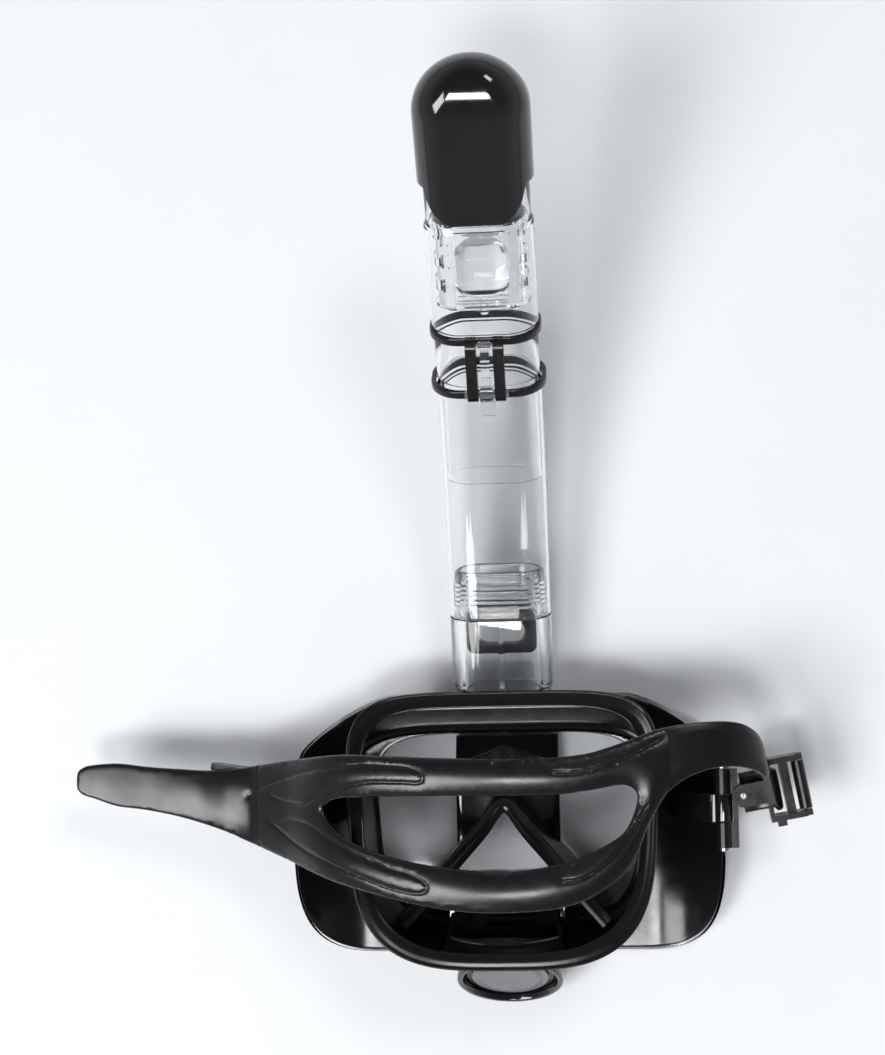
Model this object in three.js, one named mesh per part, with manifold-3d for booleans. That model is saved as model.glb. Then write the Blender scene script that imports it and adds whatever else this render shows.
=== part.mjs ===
// A compact full-face snorkel mask lying lens-down, millimetres, +Z up.
// Origin: centre of the lens's flat front face. +Y runs towards the snorkel tube, +Z towards the wearer.
import * as THREE from "three";
import { mergeVertices } from "three/addons/utils/BufferGeometryUtils.js";
import Module from "manifold-3d";

const wasm = await Module();
wasm.setup();

// ---------------------------------------------------------------- driving dimensions
const GAP = 0.3; // clearance between neighbouring pieces
const LENS = { thick: 3, flatHalf: 70, bendR: 48, halfW: 107.5, top: 66, bottom: -63.5 };
const TONGUE = { halfW: 21, y: 84 }; // the lens's extension under the snorkel
const FRAME = { thick: 2.5, inset: 1.6 };
const SEAT = { halfW: 69, top: 50.5, bottom: -53.5, taper: 0.05 }; // skirt's foot on the frame
const LIP = { halfW: 74, top: 71, bottom: -58, taper: 0.06, zTop: 50, zChin: 85, band: 8 };
const SKIRT_WALL = 2.2;
const DUCT = { halfW: 26, top: 46, bottom: -22, height: 12, wall: 2 };
const NOSE = { apexY: 17, armX: 50, armY: -38, zApex: 45, zArm: 66, wall: 2.2, flange: 6 };
const CHIN = { halfW: 46, top: -24, bottom: -50, boxHalf: 28, boxZ: 40, wall: 2 };
const CHECK_VALVE = { x: 37.5, y: -38, r: 7, z: 18 };
const PURGE = { y: -73.6, z: 30, tilt: 34, r: 26.2, flapR: 15, depth: 20, backY: -56.6 };
const AXIS = { y: 66, z: 22.2, rise0: 13.3, rise1: 35.6, bendFrom: 78, bendTo: 163 }; // tube line, degrees
const TUBE = { halfW: 25, halfD: 15.5, corner: 14.5, wall: 1.8, from: 43.6, to: 163.4, sleeveFrom: 114 };
const SOCKET = { halfW: 28, bottom: 54, top: 67.6, height: 42, wall: 1.6 };
const SPIGOT = { halfW: 24.2, halfD: 14.7, from: -5, collar: 6, shoulder: 43.2, to: 66.4, neck: 3, wall: 2 };
const CORE = 6; // how thick the connector is around its air way
const LOWER_RING = { s: 163.8, halfW: 27.2, halfD: 17.2, height: 4 };
const COUPLING = { from: 168.6, to: 191.2, halfW: 24.4, halfD: 14.9, wall: 2 };
const UPPER_RING = { s: 191.6, halfW: 26, halfD: 16.9, height: 4 };
const TOP = { from: 196, to: 272, end: 324.4, capHalfW: 26.1, capHalfD: 16.5 };
const PARTING = { side: 268.7, tongue: 249.4, x: 22.4 }; // where the cap begins
const HINGE = { s: 168.2, offset: 21, pinR: 1.25, pinHalf: 9.4, eyeR: 3.4, knuckleHalf: 3.1 };
const ARM = { x: 6.4, width: 5 };
const LATCH = { s: UPPER_RING.s + 1.8, d: 18.9, pinR: 0.8, half: 2.9, tipS: HINGE.s + 4.2 };
const CAGE = { from: 208, to: 249, halfW: 21.6, halfD: 12 };
const CAGE_SLOTS = [[209.6, 216.4], [221.6, 228.2], [232.6, 241.6]];
const FLOAT = { from: 211.6, length: 25, halfW: 12.5, halfD: 9.5 };
const SEAL = { s: 249.6, height: 2.4 };
const STRAP = { thick: 2.6, endHalf: 9.8 };
const END_LEAN = { lean: 14.4, from: 6, to: 26 }; // sideways lean of the right end at its top
const SWIVEL = { x: 106, y: 12, z: 44, pinR: 1.5, eyeR: 4.4, eyeHalf: 6.6, half: 19 };
// the buckle's own axes start at its cross pin: wall, slot for the strap, bar, roller
const BUCKLE = { crossX: 9.4, crossY: 6, eyeR: 5.4, forkZ: 2.9, halfW: 15, cheek: 2.8, halfZ: 5.6, end: 31.2 };
const BUCKLE_WALL = [11, 13];
const BUCKLE_BAR = [19.4, 23.6];
const ROLLER = { x: 28.6, r: 3.1, pinR: 1.1, half: 11.6 };
const BUTTON = { x0: 13.8, x1: 18.2, halfZ: 1.9, out: 18, inner: 13.6, travel: 1.8 };
const CROSS_PIN = { r: 1.35, hole: 1.5 };
const TILT = { left: 9, right: 10 }; // how far each buckle is turned on its cross pin, degrees

const CLEAR = { color: 0xe8ecee, roughness: 0.05, metalness: 0, opacity: 0.3, transparent: true };
const GLOSS = { color: 0x0b0b0d, roughness: 0.12, metalness: 0 };
const SILICONE = { color: 0x17171a, roughness: 0.42, metalness: 0 };
const MILKY = { color: 0xdfe3e6, roughness: 0.35, metalness: 0, opacity: 0.6, transparent: true };
const STEEL = { color: 0xb4b6b9, roughness: 0.25, metalness: 1 };

// ---------------------------------------------------------------- solids
const V = (x, y, z) => new THREE.Vector3(x, y, z);
const rad = THREE.MathUtils.degToRad;
const lerp = THREE.MathUtils.lerp;
const steps = (from, to, count) => Array.from({ length: count + 1 }, (_, i) => lerp(from, to, i / count));

function solid(geometry) {
  const bare = geometry.index ? geometry.toNonIndexed() : geometry.clone();
  bare.deleteAttribute("normal");
  bare.deleteAttribute("uv");
  const merged = mergeVertices(bare, 1e-4);
  return new wasm.Manifold(
    new wasm.Mesh({
      numProp: 3,
      vertProperties: merged.attributes.position.array,
      triVerts: new Uint32Array(merged.index.array),
    }),
  );
}

function geometryOf(manifold) {
  const mesh = manifold.getMesh();
  const made = new THREE.BufferGeometry();
  made.setAttribute("position", new THREE.BufferAttribute(mesh.vertProperties, 3));
  made.setIndex(new THREE.BufferAttribute(mesh.triVerts, 1));
  return made;
}

// A solid through rings of equal point count: closed end to end, or capped when open.
function loft(rings, closed = false) {
  const count = rings[0].length;
  const points = rings.flat();
  const faces = [];
  const spans = closed ? rings.length : rings.length - 1;
  for (let i = 0; i < spans; i += 1) {
    const a = i * count;
    const b = ((i + 1) % rings.length) * count;
    for (let j = 0; j < count; j += 1) {
      const k = (j + 1) % count;
      faces.push(a + j, a + k, b + k, a + j, b + k, b + j);
    }
  }
  if (!closed) {
    const last = (rings.length - 1) * count;
    const mid = (ring) => ring.reduce((sum, p) => sum.add(p), V(0, 0, 0)).divideScalar(count);
    points.push(mid(rings[0]), mid(rings[rings.length - 1]));
    for (let j = 0; j < count; j += 1) {
      const k = (j + 1) % count;
      faces.push(points.length - 2, k, j, points.length - 1, last + j, last + k);
    }
  }
  const made = new THREE.BufferGeometry().setFromPoints(points);
  made.setIndex(faces);
  const volume = solid(made).volume();
  if (volume < 0) {
    for (let i = 0; i < faces.length; i += 3) [faces[i + 1], faces[i + 2]] = [faces[i + 2], faces[i + 1]];
    made.setIndex(faces);
  }
  return solid(made);
}

function box(x0, x1, y0, y1, z0, z1) {
  const made = new THREE.BoxGeometry(x1 - x0, y1 - y0, z1 - z0);
  return solid(made.translate((x0 + x1) / 2, (y0 + y1) / 2, (z0 + z1) / 2));
}

// A cylinder from one point to another; a second radius makes a cone.
function rod(from, to, r, r2 = r, sides = 16) {
  const along = to.clone().sub(from);
  const made = new THREE.CylinderGeometry(r2, r, along.length(), sides);
  made.applyQuaternion(new THREE.Quaternion().setFromUnitVectors(V(0, 1, 0), along.clone().normalize()));
  return solid(made.translate(...from.clone().add(to).multiplyScalar(0.5).toArray()));
}

// A shape in the XY plane between two heights.
function prism(shape, z0, z1) {
  const made = new THREE.ExtrudeGeometry(shape, { depth: z1 - z0, bevelEnabled: false, curveSegments: 10 });
  return solid(made.translate(0, 0, z0));
}

// A closed outline of [x, z] points, carried along Y.
function slab(points, y0, y1) {
  const made = new THREE.ExtrudeGeometry(shapeOf(points), { depth: y1 - y0, bevelEnabled: false });
  return solid(made.rotateX(Math.PI / 2).translate(0, y1, 0));
}

// A closed outline of [y, z] points, carried along X.
function plate(points, x0, x1) {
  const made = new THREE.ExtrudeGeometry(shapeOf(points), { depth: x1 - x0, bevelEnabled: false });
  made.applyMatrix4(new THREE.Matrix4().makeBasis(V(0, 1, 0), V(0, 0, 1), V(1, 0, 0)));
  return solid(made.translate(x0, 0, 0));
}

function shapeOf(points) {
  return new THREE.Shape(points.map(([x, y]) => new THREE.Vector2(x, y)));
}

function spline(points, count) {
  const curve = new THREE.CatmullRomCurve3(points.map(([x, y]) => V(x, y, 0)), false, "centripetal");
  return curve.getPoints(count).map((p) => [p.x, p.y]);
}

// A rounded rectangle, half sizes w by d, as [x, d] points.
function racetrack(w, d, corner = TUBE.corner, steps = 4) {
  const r = Math.min(corner, w, d) - 0.01;
  const points = [];
  for (let q = 0; q < 4; q += 1) {
    const cx = (q === 0 || q === 3 ? 1 : -1) * (w - r);
    const cy = (q < 2 ? 1 : -1) * (d - r);
    for (let i = 0; i <= steps; i += 1) {
      const a = ((q + i / steps) * Math.PI) / 2;
      points.push([cx + r * Math.cos(a), cy + r * Math.sin(a)]);
    }
  }
  return points;
}

// ---------------------------------------------------------------- tube centre line
const RISE0 = rad(AXIS.rise0);
const RISE1 = rad(AXIS.rise1);
const BEND_R = (AXIS.bendTo - AXIS.bendFrom) / (RISE1 - RISE0);

function axisPoint(s) {
  const { bendFrom, bendTo } = AXIS;
  const first = Math.min(s, bendFrom);
  const e = lerp(RISE0, RISE1, THREE.MathUtils.clamp((s - bendFrom) / (bendTo - bendFrom), 0, 1));
  const last = Math.max(s - bendTo, 0);
  const bendY = BEND_R * (Math.sin(e) - Math.sin(RISE0));
  const bendZ = BEND_R * (Math.cos(RISE0) - Math.cos(e));
  return {
    y: AXIS.y + first * Math.cos(RISE0) + bendY + last * Math.cos(RISE1),
    z: AXIS.z + first * Math.sin(RISE0) + bendZ + last * Math.sin(RISE1),
    e,
  };
}

// Across the tube: x, then d towards the wearer's side; along it: s.
function onTube(x, s, d) {
  const { y, z, e } = axisPoint(s);
  return V(x, y - d * Math.sin(e), z + d * Math.cos(e));
}

const straight = (x, s, d) => V(x, s, d);

// A group whose own axes are x, s and d of a straight stretch of the tube.
function tubeGroup(s0) {
  const { y, z, e } = axisPoint(s0);
  const group = new THREE.Group();
  group.rotation.x = e;
  group.position.set(0, y - s0 * Math.cos(e), z - s0 * Math.sin(e));
  return group;
}

const section = (s, w, d, put) => racetrack(w, d).map(([x, y]) => put(x, s, y));

// A solid bar through [s, half width, half depth] sections.
const bar = (sections, put = straight) => loft(sections.map(([s, w, d]) => section(s, w, d, put)));

// An open pipe: [s, outer half width, outer half depth, wall] sections.
function pipe(sections, put = straight) {
  const outer = sections.map(([s, w, d]) => section(s, w, d, put));
  const inner = sections.map(([s, w, d, wall]) => section(s, w - wall, d - wall, put));
  return loft([...outer, ...inner.reverse()], true);
}

// ---------------------------------------------------------------- lens and frame
// A sheet with a flat middle and both sides curled up, between two heights above the lens's front face.
function bentSheet(h0, h1) {
  const angles = steps(rad(58), 0, 9);
  const curl = (side, a, h) => {
    const r = LENS.bendR - h;
    return [side * (LENS.flatHalf + r * Math.sin(a)), LENS.bendR - r * Math.cos(a)];
  };
  const face = (h) => [...angles.map((a) => curl(-1, a, h)), ...angles.map((a) => curl(1, a, h)).reverse()];
  return slab([...face(h0), ...face(h1).reverse()], -120, 120);
}

function lensOutline(inset, tongue) {
  const k = 1 - inset / LENS.halfW;
  const top = LENS.top - inset;
  const bottom = LENS.bottom + inset;
  const path = new THREE.Path();
  path.moveTo(0, bottom);
  path.lineTo(72 * k, bottom);
  path.quadraticCurveTo(84 * k, bottom + 0.5, 91 * k, bottom + 5);
  path.bezierCurveTo(103 * k, bottom + 12, LENS.halfW * k, -36, LENS.halfW * k, -12);
  path.bezierCurveTo((LENS.halfW + 1) * k, 10, LENS.halfW * k, 30, 104 * k, 39 * k);
  path.bezierCurveTo(103 * k, 43, 82 * k, top - 5, 62, top);
  if (tongue) {
    path.lineTo(TONGUE.halfW + 3, top);
    path.quadraticCurveTo(TONGUE.halfW, top, TONGUE.halfW, top + 4);
    path.lineTo(TONGUE.halfW, TONGUE.y - 5);
    path.quadraticCurveTo(TONGUE.halfW, TONGUE.y, TONGUE.halfW - 5, TONGUE.y);
    path.lineTo(0, TONGUE.y);
  } else {
    path.lineTo(0, top);
  }
  const right = path.getPoints(7);
  const left = right.slice(1, -1).reverse().map((p) => new THREE.Vector2(-p.x, p.y));
  return new THREE.Shape([...right, ...left]);
}

const FACE_POINTS = 36;

// A face-shaped ring: flatter across the forehead than round the chin.
function faceRing({ halfW, top, bottom, taper }, count, zOf) {
  const ring = [];
  for (let i = 0; i < count; i += 1) {
    const a = (i / count) * Math.PI * 2;
    const power = Math.sin(a) > 0 ? 5 : 3.3;
    const c = Math.sign(Math.cos(a)) * Math.abs(Math.cos(a)) ** (2 / power);
    const s = Math.sign(Math.sin(a)) * Math.abs(Math.sin(a)) ** (2 / power);
    const x = halfW * c * (1 + taper * s);
    const y = (top + bottom) / 2 + ((top - bottom) / 2) * s;
    ring.push(V(x, y, zOf(y)));
  }
  return ring;
}

function facePrism(face, z0, z1) {
  return loft([faceRing(face, FACE_POINTS, () => z0), faceRing(face, FACE_POINTS, () => z1)]);
}

const grown = ({ halfW, top, bottom, taper }, by) => ({
  halfW: halfW + by,
  top: top + by,
  bottom: bottom - by,
  taper,
});

const WINDOW = grown(SEAT, -3.5);
const FOOT_Z = LENS.thick + FRAME.thick + 2 * GAP; // everything that stands on the frame starts here

function frontLens() {
  return bentSheet(0, LENS.thick).intersect(prism(lensOutline(0, true), -1, 60));
}

function buckleLug(side) {
  const { x, y, z, eyeR, eyeHalf } = SWIVEL;
  const profile = [[79, 5.4], [94, 11.7], [102, 25], [x - 3, 38], [x - 2, 47], [98, 45], [84, 28]];
  const eye = rod(V(x, y - eyeHalf, z), V(x, y + eyeHalf, z), eyeR);
  const lug = slab(profile, y - eyeHalf, y + eyeHalf).add(eye);
  return side > 0 ? lug : lug.mirror([1, 0, 0]);
}

function lensFrame() {
  const h = LENS.thick + GAP;
  const sheet = bentSheet(h, h + FRAME.thick).intersect(prism(lensOutline(FRAME.inset, false), -1, 60));
  const boreR = SWIVEL.pinR + GAP / 2;
  const bores = [-1, 1].map((side) =>
    rod(V(side * SWIVEL.x, -20, SWIVEL.z), V(side * SWIVEL.x, 50, SWIVEL.z), boreR));
  return sheet
    .subtract(facePrism(WINDOW, -1, 20))
    .add(buckleLug(1))
    .add(buckleLug(-1))
    .subtract(bores[0])
    .subtract(bores[1]);
}

function airDuctCover() {
  const z0 = LENS.thick + GAP;
  const { halfW, top, bottom, height, wall } = DUCT;
  const cover = box(-halfW, halfW, bottom, top, z0, z0 + height);
  return cover.subtract(box(wall - halfW, halfW - wall, bottom + wall, top + 1, z0 - 1, z0 + height - wall));
}

function snorkelSocket() {
  const { halfW, bottom, top, height, wall } = SOCKET;
  const hull = box(-halfW, halfW, bottom, top, FOOT_Z, height);
  const [holeW, holeD] = [SPIGOT.halfW + GAP, SPIGOT.halfD + GAP];
  const hole = bar([[-40, holeW, holeD], [20, holeW, holeD]])
    .rotate([AXIS.rise0, 0, 0])
    .translate([0, AXIS.y, AXIS.z]);
  const backWall = box(-halfW, halfW, bottom, bottom + wall, FOOT_Z, height);
  const air = box(-15, 15, 50, 60, 9, 16);
  return hull.subtract(hole).add(backWall).subtract(air);
}

// ---------------------------------------------------------------- soft parts of the face seal
const DRAIN = box(-12, 12, -62, -44, 12, 26); // the way from the mouth to the purge valve
const lipZ = (y) => lerp(LIP.zChin, LIP.zTop, (y - LIP.bottom) / (LIP.top - LIP.bottom));

function skirt() {
  const at = (t) => (y) => lerp(FOOT_Z, lipZ(y), t);
  const wall = ([t, rise]) => ({
    halfW: lerp(SEAT.halfW, LIP.halfW, t),
    top: SEAT.top + rise,
    bottom: SEAT.bottom - rise,
    taper: lerp(SEAT.taper, LIP.taper, t),
  });
  const [foot, low, high, neck] = [[0, 0], [0.3, 0.6], [0.6, 1.3], [0.85, 2.2]];
  const stations = [
    ...[foot, low, high, neck].map((level) => [wall(level), at(level[0])]),
    [LIP, at(1)],
    [grown(LIP, -LIP.band), (y) => lipZ(y) + 0.6],
    [grown(LIP, -LIP.band), (y) => lipZ(y) - 1.4],
    [grown(LIP, -2.8), (y) => lipZ(y) - 2.4],
    [grown(wall(neck), -SKIRT_WALL), (y) => at(neck[0])(y) + 1],
    ...[high, low, foot].map((level) => [grown(wall(level), -SKIRT_WALL), at(level[0])]),
  ];
  const shell = loft(stations.map(([face, z]) => faceRing(face, FACE_POINTS, z)), true);
  const airWay = box(-14, 14, 40, 62, 9, 15);
  return shell.subtract(airWay).subtract(DRAIN);
}

// The nose and mouth cup: an inverted V of soft wall with an inward lip.
function orinasalCup() {
  const { wall, flange, apexY, armX, armY } = NOSE;
  const half = spline([[armX, armY], [38, -25], [25, -10], [12, 4.5], [4.5, apexY - 2.5], [0, apexY]], 12);
  const path = [...half, ...half.slice(0, -1).reverse().map(([x, y]) => [-x, y])];
  const z0 = LENS.thick + GAP;
  const rings = path.map(([x, y], i) => {
    const [x0, y0] = path[Math.max(i - 1, 0)];
    const [x1, y1] = path[Math.min(i + 1, path.length - 1)];
    const out = V(y1 - y0, x0 - x1, 0).normalize().multiplyScalar(-1);
    if (out.y < 0) out.negate();
    const z = lerp(NOSE.zApex, NOSE.zArm, (apexY - y) / (apexY - armY));
    const rim = [[wall, z - 1], [wall - 1, z], [1.4 - flange, z + 1.4], [0.6 - flange, z - 0.6]];
    const profile = [[0, z0], [wall, z0], ...rim, [0, z - 2.6]];
    return profile.map(([o, h]) => V(x + out.x * o, y + out.y * o, h));
  });
  const ductX = DUCT.halfW + GAP;
  const ductRoom = box(-ductX, ductX, DUCT.bottom - GAP, DUCT.top, 0, z0 + DUCT.height + GAP);
  const chinRoom = box(-60, 60, -60, CHIN.top + GAP, 0, FOOT_Z);
  return loft(rings).subtract(ductRoom).subtract(chinRoom);
}

function chinHousing() {
  const z0 = LENS.thick + GAP;
  const { halfW, top, bottom, boxHalf, boxZ, wall } = CHIN;
  const floor = box(-halfW, halfW, bottom, top, z0, z0 + FRAME.thick);
  const sideWall = (x) => box(x, x + wall, bottom + 1, top - 8, z0, boxZ);
  const back = box(-boxHalf, boxHalf, bottom + 1, bottom + 1 + wall, z0 + 1, boxZ + 6);
  const inside = facePrism(grown(WINDOW, -GAP), 0, 60);
  const whole = floor.add(sideWall(boxHalf - wall)).add(sideWall(-boxHalf)).add(back);
  return whole.intersect(inside).subtract(DRAIN);
}

function checkValveSeat(side) {
  const { x, y, r, z } = CHECK_VALVE;
  const hole = rod(V(side * x, y, 0), V(side * x, y, z + 5), r - 1.6);
  const tube = rod(V(side * x, y, FOOT_Z), V(side * x, y, z), r).subtract(hole);
  return tube.add(box(side * x - r + 1, side * x + r - 1, y - 0.8, y + 0.8, z - 2, z));
}

function checkValveFlap(side) {
  const { x, y, r, z } = CHECK_VALVE;
  const disc = rod(V(side * x, y, z + GAP), V(side * x, y, z + GAP + 1), r - 0.4);
  return disc.add(rod(V(side * x, y, z + GAP), V(side * x, y, z + 2.6), 1.2));
}

// ---------------------------------------------------------------- purge valve
function turned(profile, sides = 30) {
  return solid(new THREE.LatheGeometry(profile.map(([r, h]) => new THREE.Vector2(r, h)), sides));
}

// The valve's own axis is local +Y; this stands it on the chin, facing down the face and up off the table.
function onPurge(made) {
  return made.rotate([180 - PURGE.tilt, 0, 0]).translate([0, PURGE.y, PURGE.z]);
}

function purgeHousing() {
  const { r, depth, backY } = PURGE;
  const outside = [[16, -depth], [20, -depth], [20, -12], [r, -6.5], [r, -0.8], [r - 0.8, 0]];
  const inside = [[r - 4, 0], [r - 4, -5.4], [18, -5.4], [16, -12], [16, -depth]];
  return onPurge(turned([...outside, ...inside])).subtract(box(-40, 40, backY, 0, -20, 90));
}

function purgeSeat() {
  const ring = turned([[17.6, -5.1], [21.6, -5.1], [21.6, -3.1], [17.6, -3.1], [17.6, -5.1]]);
  const spokes = [0, 60, 120].map((a) => box(-18, 18, -4.6, -3.1, -1, 1).rotate([0, a, 0]));
  const hub = rod(V(0, -5, 0), V(0, -3.1, 0), 3.4);
  const stemHole = rod(V(0, -8, 0), V(0, 0, 0), 1.5);
  return onPurge(spokes.reduce((sum, s) => sum.add(s), ring.add(hub)).subtract(stemHole));
}

function purgeFlap() {
  const r = PURGE.flapR;
  const disc = [[r + 4, -2.8], [r + 4, -2], [r, -1.2], [0, -1.2]];
  return onPurge(turned([[0, -6.4], [1.2, -6.4], [1.2, -2.8], ...disc]));
}

// ---------------------------------------------------------------- connector and main tube
function connector() {
  const { from, collar, shoulder, to, halfW, halfD, neck, wall } = SPIGOT;
  return pipe([
    [from, halfW, halfD, CORE],
    [collar - 0.1, halfW, halfD, CORE],
    [collar, TUBE.halfW, TUBE.halfD, CORE],
    [shoulder, TUBE.halfW, TUBE.halfD, CORE],
    [shoulder + 0.1, halfW - neck, halfD - neck, wall + 1],
    [to, halfW - neck, halfD - neck, wall],
  ]);
}

function connectorDivider() {
  const d = TUBE.halfD - CORE - 0.4;
  return box(-1.2, 1.2, 8, SPIGOT.shoulder - 4, -d, d);
}

function spigotSeal() {
  const [thin, thick] = [0.6, 1.4];
  const w = SPIGOT.halfW - SPIGOT.neck + GAP;
  const d = SPIGOT.halfD - SPIGOT.neck + GAP;
  const ribs = steps(49, 58.6, 4).flatMap((s) => [[s, thin], [s + 1, thick], [s + 2, thin]]);
  const stations = [[SPIGOT.shoulder + 1, thin], ...ribs, [SPIGOT.to - 1, thin]];
  return pipe(stations.map(([s, t]) => [s, w + t, d + t, t]));
}

function mainTube() {
  const list = [TUBE.from, ...steps(AXIS.bendFrom, AXIS.bendTo, 9), TUBE.to];
  return pipe(list.map((s) => [s, TUBE.halfW, TUBE.halfD, TUBE.wall]), onTube);
}

function jointSleeve() {
  const inset = TUBE.wall + GAP;
  const stations = steps(TUBE.sleeveFrom, TUBE.to - 0.4, 6);
  return pipe(stations.map((s) => [s, TUBE.halfW - inset, TUBE.halfD - inset, 1.4]), onTube);
}

function lowerRing() {
  const { s, halfW, halfD, height } = LOWER_RING;
  return pipe([[s, halfW, halfD, 3.6], [s + height, halfW, halfD, 3.6]]);
}

function hingeKnuckle() {
  const { s: pinS, offset, eyeR, pinR, knuckleHalf: half } = HINGE;
  const { s, halfD } = LOWER_RING;
  const foot = TUBE.halfD + 0.6;
  const over = halfD + GAP;
  const eye = rod(V(-half, pinS, offset), V(half, pinS, offset), eyeR);
  const outside = [[s - 9, foot], [s - 9, foot + 2.4], [s - 2, foot + 4], [pinS, offset + 2]];
  const strap = plate([...outside, [pinS, over], [s - 0.5, over], [s - 0.5, foot]], -half, half);
  return eye.add(strap).subtract(rod(V(-9, pinS, offset), V(9, pinS, offset), pinR + GAP / 2));
}

function foldHingePin() {
  const { pinHalf, pinR } = HINGE;
  const head = (x) => rod(V(x, 0, 0), V(x + 0.8, 0, 0), 2);
  return rod(V(-pinHalf, 0, 0), V(pinHalf, 0, 0), pinR).add(head(pinHalf)).add(head(-pinHalf - 0.8));
}

// ---------------------------------------------------------------- folding dry top
function upperRing() {
  const { s, halfW, halfD, height } = UPPER_RING;
  const ring = pipe([[s, halfW, halfD, 3.8], [s + height, halfW, halfD, 3.8]]);
  const inner = halfD - 2.6;
  const { s: pinS, offset, eyeR, pinR } = HINGE;
  const outside = [[s + height, inner], [s + height, 19.4], [s + 1, 21.4], [pinS + 2, offset + 3.2]];
  const inside = [[pinS + 1.5, offset - 2], [pinS + 5, 17.8], [s, 16.6], [s, inner]];
  const arms = [-ARM.x, ARM.x].map((x) => {
    const [x0, x1] = [x - ARM.width / 2, x + ARM.width / 2];
    const eye = rod(V(x0, pinS, offset), V(x1, pinS, offset), eyeR);
    return plate([...outside, ...inside], x0, x1).add(eye);
  });
  const pinHole = rod(V(-20, pinS, offset), V(20, pinS, offset), pinR + GAP / 2);
  const latchHole = rod(V(-20, LATCH.s, LATCH.d), V(20, LATCH.s, LATCH.d), LATCH.pinR + GAP / 2);
  return ring.add(arms[0]).add(arms[1]).subtract(pinHole).subtract(latchHole);
}

function latchLever() {
  const { s, d, half, pinR, tipS } = LATCH;
  const knob = rod(V(-half, s, d), V(half, s, d), 1.7);
  const profile = [[s, d - 0.9], [s, d + 1.2], [tipS, d + 3.4], [tipS, d + 0.6], [tipS + 4, d - 0.4]];
  const blade = plate(profile, 0.8 - half, half - 0.8);
  return knob.add(blade).subtract(rod(V(-9, s, d), V(9, s, d), pinR + GAP / 2));
}

function coupling() {
  const { from, to, halfW, halfD, wall } = COUPLING;
  return pipe([[from, halfW, halfD, wall], [to, halfW, halfD, wall]]);
}

// A racetrack bar closed by a dome, inset from the cap's outside.
function domed(inset, from, end) {
  const w = TOP.capHalfW - inset;
  const d = TOP.capHalfD - inset;
  const shoulder = end - 24;
  const dome = [0, 0.24, 0.45, 0.64, 0.8, 0.91, 0.975, 0.998].map((t) => {
    const k = Math.sqrt(1 - t * t);
    return [shoulder + (end - shoulder) * t, w * k, d * k ** 0.8];
  });
  return bar([[from, w, d], ...dome]);
}

// The cap's side of the parting line: a tongue on the wearer's side, a level edge on the other.
function capRegion() {
  const path = new THREE.Path();
  const { side, tongue, x } = PARTING;
  path.moveTo(-40, side);
  path.lineTo(-x, side);
  path.bezierCurveTo(2.4 - x, tongue - 1.4, -12, tongue, 0, tongue);
  path.bezierCurveTo(12, tongue, x - 2.4, tongue - 1.4, x, side);
  path.lineTo(40, side);
  path.lineTo(40, 340);
  path.lineTo(-40, 340);
  const rear = prism(new THREE.Shape(path.getPoints(8)), 0, 40);
  return rear.add(box(-40, 40, side, 340, -40, 1));
}

function cap() {
  const shell = domed(0, TOP.from, TOP.end).subtract(domed(1.9, TOP.from - 10, TOP.end - 2));
  return shell.intersect(capRegion());
}

function dryTopHousing() {
  const { from, to } = TOP;
  const halfW = TOP.capHalfW - 2.2;
  const halfD = TOP.capHalfD - 2.2;
  return pipe([
    [from, TUBE.halfW, TUBE.halfD - 0.2, TUBE.wall],
    [PARTING.tongue - 3, TUBE.halfW, TUBE.halfD - 0.2, TUBE.wall],
    [PARTING.tongue, halfW, halfD, 1.2],
    [to, halfW, halfD, 1.2],
  ]);
}

function floatCage() {
  const { from: s0, to: s1, halfW: w, halfD: d } = CAGE;
  const shell = pipe([[s0, w, d, 1.6], [s1, w, d, 1.6]]);
  const airHole = box(-12, 12, s0 - 1, s0 + 3, -4, 4);
  const floor = bar([[s0, w - 1, d - 1], [s0 + 1.6, w - 1, d - 1]]).subtract(airHole);
  const spider = box(-14, 14, s0, s0 + 1.6, -1, 1).add(rod(V(0, s0 - 7, 0), V(0, s0 + 1.6, 0), 1.8));
  const openFront = box(-12, 12, s0 + 3, s1 - 3, -40, 40);
  const slots = CAGE_SLOTS.map(([a, b]) => box(-40, 40, a, b, -6.5, 6.5));
  return slots.reduce((sum, slot) => sum.subtract(slot), shell.subtract(openFront)).add(floor).add(spider);
}

function floatBody() {
  const { from: s0, length, halfW, halfD } = FLOAT;
  const s1 = s0 + length;
  const lower = [[s0, halfW - 3, halfD - 3], [s0 + 3, halfW, halfD]];
  return bar([...lower, [s1 - 4, halfW, halfD], [s1, halfW - 5, halfD - 4]]);
}

function valveSeal() {
  return pipe([[SEAL.s, 21, 11.4, 9], [SEAL.s + SEAL.height, 21, 11.4, 9]]);
}

// ---------------------------------------------------------------- strap
// Centre line of the raised part, [x, z], and the outlines of its bands, [x, y].
const STRAP_LINE = spline(
  [[-122, 54], [-104, 66], [-80, 85], [-42, 98], [0, 104], [42, 102.5], [80, 97], [100, 93.6], [112, 89.4],
    [119, 83.6], [122.4, 77.6]],
  32,
);
const BAND_TOP = [
  [-119, 37.2], [-95, 41.6], [-74, 44.3], [-50, 43.9], [4, 42.7], [30, 43.1], [44, 44.8], [59, 49.2],
  [74, 54.2], [90, 56.7], [102, 57.4], [113, 56.4], [119, 53], [123, 48.6],
];
const BAND_BOTTOM = [
  [123, 29.4], [119, 33.4], [113, 35.8], [98, 36], [90, 33], [84, 29.7], [79, 26], [72.5, 16.5], [69, 10], [62.6, -4.6], [54.7, -13.4],
  [41.7, -21.6], [28, -25.9], [2, -27.8], [-18, -27.2], [-37, -24.7], [-56, -20.8], [-82, -14.5],
  [-102, -8.3], [-119, -2.8],
];
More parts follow.
